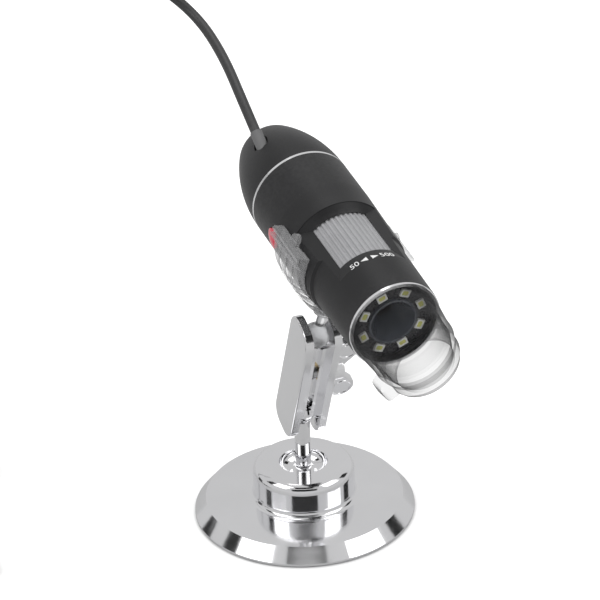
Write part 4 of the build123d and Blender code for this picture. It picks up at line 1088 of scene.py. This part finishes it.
@dataclass
class Microscope:
    """The barrel with its tail, wheel, lamps, lenses, boards and button."""

    lamps: LampRing = field(default_factory=LampRing)
    marks: DialMarks = field(default_factory=DialMarks)

    def dress(self) -> None:
        """Finishes the carried-over solids of the microscope."""
        table: tuple[tuple[str, Finish, str], ...] = (
            ("barrel_shell", SOFT_TOUCH, "dark_shell"),
            ("tail_cap", SOFT_TOUCH, "dark_tail"),
            ("cable_gland", GREY_RUBBER, "grey_gland"),
            ("rear_trim_ring", BRIGHT_TRIM, "bright_trim"),
            ("front_trim_ring", BRIGHT_TRIM, "bright_trim"),
            ("chassis", INNER_BLACK, "inner_frame"),
            ("wheel_retainer", INNER_BLACK, "inner_frame"),
            ("focus_wheel", GREY_WHEEL, "grey_wheel"),
            ("lens_carrier", INNER_BLACK, "inner_frame"),
            ("lens_barrel", ANODISED, "lens_tube"),
            ("front_lens", LENS_GLASS, "lens_glass"),
            ("rear_lens", LENS_GLASS, "lens_glass"),
            ("lens_retainer", ANODISED, "lens_tube"),
            ("led_board", BLACK_BOARD, "lamp_board"),
            ("lens_shroud", DARK_FUNNEL_PAINTED_BLUE, "shield"),
            ("hood", CLEAR_HOOD, "clear_hood"),
            ("snapshot_button", RED_CAP, "red_button"),
            ("main_board", GREEN_BOARD, "green_board"),
            ("tact_switch", SWITCH_BODY, "switch_body"),
            ("sensor_board", GREEN_BOARD, "green_board"),
            ("image_sensor", SENSOR_LID, "sensor_body"),
            ("chassis_screws", ZINC_STEEL, "steel_fixings"),
        )
        for name, finish, slot in table:
            dress_node(name, finish)

    def build(self) -> None:
        """Builds and dresses the microscope."""
        self.dress()
        self.lamps.build()
        self.marks.build()


@dataclass
class Holder:
    """The clear clip round the barrel."""

    def build(self) -> None:
        """Dresses the clip."""
        dress_node("clip", CLEAR_CLIP)




@dataclass
class Cable:
    """The cable from the gland to the plug, with its put-away coil and its tie. Sizes are in millimetres."""

    radius: float = 1.65
    exit_run: float = 11.2
    gland: Point = (-19.7, -7.8, 13.8)
    gland_pitch: float = 22.7
    route: tuple[Point, ...] = (
        (-56.9, 0.8, 138.7),
        (-76.4, 0.2, 144.6),
        (-85.1, -8.6, 153.8),
        (-85.2, -20.8, 163.1),
        (-84.8, -36.0, 170.5),
        (-84.6, -54.0, 172.0),
        (-84.5, -68.5, 162.5),
        (-84.5, -76.0, 144.0),
        (-84.5, -77.3, 122.0),
        (-84.5, -77.5, 98.0),
        (-84.5, -76.8, 73.0),
        (-84.5, -76.3, 56.1),
        (-84.5, -76.3, 43.0),
        (-84.5, -79.1, 36.2),
        (-84.5, -84.1, 31.3),
    )
    coil_centre: tuple[float, float] = (-70.6, -101.0)
    coil_outer_r: float = 13.9
    coil_pitch: float = 3.8
    coil_layer: float = 3.8
    coil_layers: int = 8
    coil_start: float = 180.0
    layer_turns: float = 0.975
    drop_turns: float = 0.5
    points_per_turn: int = 24
    lead_last_run: float = 6.9
    tail_first_run: float = 4.5
    tail_drop_run: float = 6.0
    tail_turn: float = -15.0
    tail_last_run: float = 5.0
    tie_t: float = 0.6
    tie_w: float = 4.5
    tie_angle: float = 228.0
    tie_corner_r: float = 1.6
    tie_room: float = 0.2
    plug_axis_z: float = 4.1
    plug_relief: float = 9.0
    plug_grip: Point = (21.0, 14.6, 8.2)
    real_length: float = 1.2

    def exit(self) -> tuple[Vector, Vector]:
        """Returns the point where the cable leaves the gland, and its direction."""
        place = FRAMES.barrel() @ Matrix.Translation(Vector(self.gland) * MM)
        place = place @ Matrix.Rotation(math.radians(self.gland_pitch - 90), 4, "Y")
        direction = (place.to_3x3() @ Vector((0, 0, 1))).normalized()
        return place.translation / MM, direction

    def coil_state(self, turns: float) -> tuple[float, float, float, float]:
        """Returns the coil's radius and height after some turns, and their rates per turn."""
        stage = self.layer_turns + self.drop_turns
        layer = min(int(turns / stage + 1e-9), self.coil_layers - 1)
        past = turns - layer * stage
        inward = 1 if layer % 2 == 0 else -1
        start_r, end_r = self.coil_outer_r, self.coil_outer_r - self.coil_pitch * self.layer_turns
        if inward < 0:
            start_r, end_r = end_r, start_r
        height = self.radius + self.tie_t + self.coil_layer * (self.coil_layers - 1 - layer)
        if past <= self.layer_turns:
            return start_r - inward * self.coil_pitch * past, height, -inward * self.coil_pitch, 0.0
        share = (past - self.layer_turns) / self.drop_turns
        radius = end_r - inward * self.coil_pitch * self.drop_turns * share * (1 - share)
        height -= self.coil_layer * share ** 2 * (3 - 2 * share)
        height_rate = -self.coil_layer / self.drop_turns * 6 * share * (1 - share)
        return radius, height, -inward * self.coil_pitch * (1 - 2 * share), height_rate

    def coil_turns(self) -> float:
        """Returns how many turns the coil has."""
        return self.coil_layers * self.layer_turns + (self.coil_layers - 1) * self.drop_turns

    def coil_point(self, turns: float, swell: float = 1.0) -> tuple[Vector, Vector]:
        """Returns a point of the coil and its direction.

        Args:
            turns: how many turns along.
            swell: a share by which the radius is drawn larger.

        Returns:
            The point in millimetres, and the direction.
        """
        radius, height, radius_rate, height_rate = self.coil_state(turns)
        angle = math.radians(self.coil_start) + 2 * math.pi * turns
        outward = Vector((math.cos(angle), math.sin(angle), 0))
        onward = Vector((-math.sin(angle), math.cos(angle), 0))
        point = Vector((*self.coil_centre, 0)) + outward * radius * swell + Vector((0, 0, height))
        direction = outward * radius_rate + onward * (2 * math.pi * radius) + Vector((0, 0, height_rate))
        return point, direction.normalized()

    def tail(self) -> tuple[list[Vector], Vector]:
        """Returns the points from the coil's end to the plug, and the plug's direction."""
        last, direction = self.coil_point(self.coil_turns())
        start = last + direction * 2 * self.radius
        one = start + direction * self.tail_first_run
        level = Vector((direction.x, direction.y, 0)).normalized()
        plug = Matrix.Rotation(math.radians(self.tail_turn), 3, "Z") @ level
        two = Vector((one.x, one.y, self.plug_axis_z)) + level * self.tail_drop_run
        return [start, one, two, two + plug * self.tail_last_run], plug

    def control_points(self) -> list[Vector]:
        """Returns the spline's control points, in metres."""
        start, direction = self.exit()
        first, first_dir = self.coil_point(0)
        arrive = first - first_dir * 2 * self.radius
        points = [start, start + direction * self.exit_run]
        points += [Vector(point) for point in self.route]
        points += [arrive - first_dir * self.lead_last_run, arrive]
        total = self.coil_turns()
        count = int(total * self.points_per_turn)
        swell = 1 / (0.75 + 0.25 * math.cos(2 * math.pi / self.points_per_turn))
        points += [self.coil_point(total * step / count, swell)[0] for step in range(1, count + 1)]
        points += self.tail()[0]
        return [point * MM for point in points]

    def cord(self) -> bpy.types.Object:
        """Returns the cable's curve, one smooth spline with a round section."""
        curve = bpy.data.curves.new("cable", "CURVE")
        curve.dimensions = "3D"
        points = self.control_points()
        spline = curve.splines.new("NURBS")
        spline.points.add(len(points) - 1)
        for target, point in zip(spline.points, points):
            target.co = (*point, 1.0)
        spline.order_u = 3
        spline.use_endpoint_u = True
        spline.resolution_u = 6
        curve.bevel_depth = self.radius * MM
        curve.bevel_resolution = 5
        curve.use_fill_caps = True
        curve.materials.append(JACKET.material())
        made = bpy.data.objects.new("cable", curve)
        bpy.context.scene.collection.objects.link(made)
        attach(made, Body.BARREL.value)
        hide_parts("cord_lead", "cord_coil", "cord_tail")
        LOG.info("cable: %d control points", len(points))
        return made

    def tie(self) -> bpy.types.Object:
        """Returns the woven band round the coil's bundle, with its overlapping end."""
        mesh = bmesh.new()
        bulge = self.coil_pitch * self.drop_turns / 4
        outer_r = self.coil_outer_r + bulge + self.radius
        inner_r = self.coil_outer_r - self.coil_pitch * self.layer_turns - bulge - self.radius
        height = 2 * self.radius + self.coil_layer * (self.coil_layers - 1) + self.tie_room
        half_w = (outer_r - inner_r) / 2 + self.tie_room
        mid_z = height / 2 + self.tie_t
        turn = Matrix.Rotation(math.radians(self.tie_angle), 4, "Z")
        place = Matrix.Translation(Vector((*self.coil_centre, 0)) * MM) @ turn
        place = place @ Matrix.Translation(Vector(((inner_r + outer_r) / 2, 0, mid_z)) * MM)
        loops: list[list[Vector]] = []
        for grow in (0.0, self.tie_t):
            corner = self.tie_corner_r + grow
            loop = []
            for quarter, (sx, sz) in enumerate(((1, 1), (-1, 1), (-1, -1), (1, -1))):
                for step in range(7):
                    angle = math.radians(90 * quarter + 15 * step)
                    x = sx * (half_w + grow - corner) + corner * math.cos(angle)
                    z = sz * (height / 2 + grow - corner) + corner * math.sin(angle)
                    loop.append(Vector((x, 0, z)))
            loops.append(loop)
        count = len(loops[0])
        rings = []
        for loop, side in ((loops[0], -1), (loops[1], -1), (loops[1], 1), (loops[0], 1)):
            shift = Vector((0, side * self.tie_w / 2, 0))
            rings.append([mesh.verts.new(place @ ((point + shift) * MM)) for point in loop])
        for k in range(4):
            here, there = rings[k], rings[(k + 1) % 4]
            for i in range(count):
                j = (i + 1) % count
                mesh.faces.new((here[i], here[j], there[j], there[i]))
        seam = place @ Matrix.Translation(Vector((half_w * 0.35, 0, height / 2 + self.tie_t * 0.72)) * MM)
        rounded_block(mesh, (half_w * 0.9, self.tie_w * 0.94, self.tie_t * 0.5), self.tie_t * 0.2, seam)
        made = piece("cable_tie", mesh, [BAND], Body.BARREL)
        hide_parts("cord_tie")
        return made

    def grip_ribs(self) -> bpy.types.Object:
        """Returns the raised ribs on the flat faces of the plug's grip."""
        mesh = bmesh.new()
        points, direction = self.tail()
        across = Vector((0, 0, 1)).cross(direction)
        turn = Matrix((direction, across, (0, 0, 1))).transposed().to_4x4()
        place = Matrix.Translation(points[-1] * MM) @ turn
        for number in range(5):
            x = self.plug_relief + 5.0 + number * 2.0
            for side in (-1, 1):
                seat = Matrix.Translation(Vector((x, side * (self.plug_grip[1] / 2 - 0.2), 0)) * MM)
                rounded_block(mesh, (0.9, 0.5, self.plug_grip[2] * 0.6), 0.2, place @ seat)
        return piece("plug_ribs", mesh, [PLUG_PLASTIC], Body.BARREL)

    def build(self) -> None:
        cord = self.cord()
        tie = self.tie()
        ribs = self.grip_ribs()
        plug = [
            dress_node("plug_grip", PLUG_PLASTIC),
            dress_node("plug_shell", PLUG_METAL),
            dress_node("plug_tongue", PALE_BLOCK),
        ]




@dataclass
class Studio:
    """The camera, the floor, the soft lamps and the pale surroundings. Distances are in metres."""

    azimuth: float = 67.87
    elevation: float = 28.93
    roll: float = -2.15
    distance: float = 1.0
    look_at: Point = (0.000335, 0.000824, 0.07752)
    lens: float = 189.67
    floor_half: float = 1.6

    def axes(self) -> tuple[Vector, Vector, Vector]:
        """Returns the camera's right, up and backward directions."""
        a, e, r = (math.radians(x) for x in (self.azimuth, self.elevation, self.roll))
        back = Vector((math.sin(a) * math.cos(e), -math.cos(a) * math.cos(e), math.sin(e)))
        right = Vector((math.cos(a), math.sin(a), 0))
        up = back.cross(right)
        return math.cos(r) * right + math.sin(r) * up, -math.sin(r) * right + math.cos(r) * up, back

    def camera(self) -> None:
        """Makes the camera at the photograph's angle."""
        right, up, back = self.axes()
        data = bpy.data.cameras.new("camera")
        data.lens = self.lens
        data.sensor_width = 36.0
        data.clip_start = 0.05
        data.clip_end = 20.0
        made = bpy.data.objects.new("camera", data)
        made.rotation_mode = "QUATERNION"
        made.rotation_quaternion = Matrix((right, up, back)).transposed().to_quaternion()
        made.location = Vector(self.look_at) + back * self.distance
        bpy.context.scene.collection.objects.link(made)
        bpy.context.scene.camera = made

    def floor(self) -> None:
        """Makes the pale floor, which reads white to the camera and keeps the object's shadow from the lamps, with a
        painted contact shadow where ambient occlusion dims its glow close to the object.
        """
        mesh = bmesh.new()
        bmesh.ops.create_grid(mesh, x_segments=1, y_segments=1, size=self.floor_half)
        data = bpy.data.meshes.new("floor")
        mesh.to_mesh(data)
        mesh.free()
        material = bpy.data.materials.new("pale_floor")
        material.use_nodes = True
        material.node_tree.nodes.clear()
        graph = Graph(material.node_tree)
        lit = graph.add("BsdfDiffuse")
        where = graph.add("TexCoord").outputs["Object"]
        tone = EFFECTS.place(graph, Effect.TONE, Vector=where, Scale=6.0, Color=(0.80, 0.80, 0.80, 1.0), Amount=0.01)
        glow = graph.add("Emission")
        ray = graph.add("LightPath")
        mirrored = graph.mix(ray.outputs["Is Glossy Ray"], tone.outputs["Color"], (0.5, 0.5, 0.5, 1.0))
        graph.wire(mirrored, lit.inputs["Color"])
        seen = graph.math("MAXIMUM", ray.outputs["Is Camera Ray"], ray.outputs["Is Transmission Ray"])
        # Painted contact shadow: the glow that the camera sees is dimmed by ambient occlusion within 6 mm of the
        # object.
        painted_contact_shadow = graph.add("AmbientOcclusion")
        painted_contact_shadow.inputs["Distance"].default_value = 0.006
        glow_with_painted_shadow = graph.math("MULTIPLY", seen, graph.math("POWER", painted_contact_shadow.outputs["AO"], 2.0))
        graph.wire(graph.math("MULTIPLY", glow_with_painted_shadow, 0.42), glow.inputs["Strength"])
        both = graph.add("AddShader")
        graph.wire(lit.outputs["BSDF"], both.inputs[0])
        graph.wire(glow.outputs["Emission"], both.inputs[1])
        graph.wire(both.outputs["Shader"], graph.add("OutputMaterial").inputs["Surface"])
        data.materials.append(material)
        made = bpy.data.objects.new("floor", data)
        bpy.context.scene.collection.objects.link(made)

    def world(self) -> None:
        """Makes the pale surroundings: white where they are seen, softer where they light."""
        world = bpy.data.worlds.new("surroundings")
        bpy.context.scene.world = world
        world.use_nodes = True
        world.node_tree.nodes.clear()
        graph = Graph(world.node_tree)
        ray = graph.add("LightPath")
        shown = graph.math("MAXIMUM", ray.outputs["Is Camera Ray"], ray.outputs["Is Transmission Ray"])
        strength = graph.math("MAXIMUM", shown, graph.math("MULTIPLY", ray.outputs["Is Glossy Ray"], 0.62))
        diffuse = graph.math("MULTIPLY", ray.outputs["Is Diffuse Ray"], 0.85)
        dim = graph.math("MAXIMUM", strength, diffuse)
        background = graph.add("Background")
        background.inputs["Color"].default_value = (1.0, 1.0, 1.0, 1.0)
        graph.wire(dim, background.inputs["Strength"])
        graph.wire(background.outputs["Background"], graph.add("OutputWorld").inputs["Surface"])

    def aimed(self, made: bpy.types.Object, place: Vector) -> None:
        """Puts an object at a place and turns it to face the microscope."""
        aim = Vector((0, 0, 0.07)) - place
        made.rotation_mode = "QUATERNION"
        made.rotation_quaternion = aim.to_track_quat("-Z", "Y")
        made.location = place
        bpy.context.scene.collection.objects.link(made)

    def place(self, right: float, up: float, back: float) -> Vector:
        """Returns a place given along the camera's level right, the world's up and the level way back."""
        a = math.radians(self.azimuth)
        level = Vector((math.cos(a), math.sin(a), 0))
        toward = Vector((math.sin(a), -math.cos(a), 0))
        return level * right + Vector((0, 0, up)) + toward * back

    def lamp(self, name: str, place: Vector, size: float, power: float) -> None:
        """Makes a soft square lamp that faces the microscope."""
        data = bpy.data.lights.new(name, "AREA")
        data.shape = "SQUARE"
        data.size = size
        data.energy = power
        self.aimed(bpy.data.objects.new(name, data), place)

    def flag(self, name: str, place: Vector, width: float, height: float) -> None:
        """Makes a dark card that only mirrors see, as a studio has for the lines in bright metal."""
        mesh = bmesh.new()
        bmesh.ops.create_grid(mesh, x_segments=1, y_segments=1, size=0.5)
        bmesh.ops.scale(mesh, vec=(width, height, 1.0), verts=mesh.verts)
        data = bpy.data.meshes.new(name)
        mesh.to_mesh(data)
        mesh.free()
        material = bpy.data.materials.get("dark_card") or bpy.data.materials.new("dark_card")
        material.use_nodes = True
        shader = material.node_tree.nodes["Principled BSDF"]
        shader.inputs["Base Color"].default_value = (0.01, 0.01, 0.01, 1.0)
        shader.inputs["Roughness"].default_value = 1.0
        data.materials.append(material)
        made = bpy.data.objects.new(name, data)
        self.aimed(made, place)
        for ray in ("visible_camera", "visible_diffuse", "visible_transmission", "visible_shadow"):
            setattr(made, ray, False)

    def build(self) -> None:
        """Builds the studio."""
        self.camera()
        self.floor()
        self.world()
        self.lamp("soft_left", self.place(-0.78, 0.92, 0.45), 0.7, 2.2)
        self.lamp("soft_right", self.place(0.88, 0.86, 0.32), 0.7, 2.2)
        self.lamp("soft_top", self.place(0.0, 1.2, -0.3), 0.8, 2.8)
        self.flag("card_front", self.place(0.0, 0.62, 1.1), 1.2, 0.45)
        self.flag("card_high", self.place(0.0, 1.3, 0.95), 0.95, 0.45)
        self.flag("card_left", self.place(-1.0, 0.74, 0.06), 0.3, 0.5)
        self.flag("card_right", self.place(1.05, 0.56, -0.32), 0.34, 0.5)
        LOG.info("studio ready")


def main() -> None:
    """Builds the studio and the object's sub-assemblies in order."""
    logging.basicConfig(level=logging.INFO, format="%(message)s")
    bpy.context.scene.view_settings.view_transform = "Standard"
    Studio().build()
    Cable().build()
    Stand().build()
    Holder().build()
    Microscope().build()


if __name__ == "__main__":
    main()
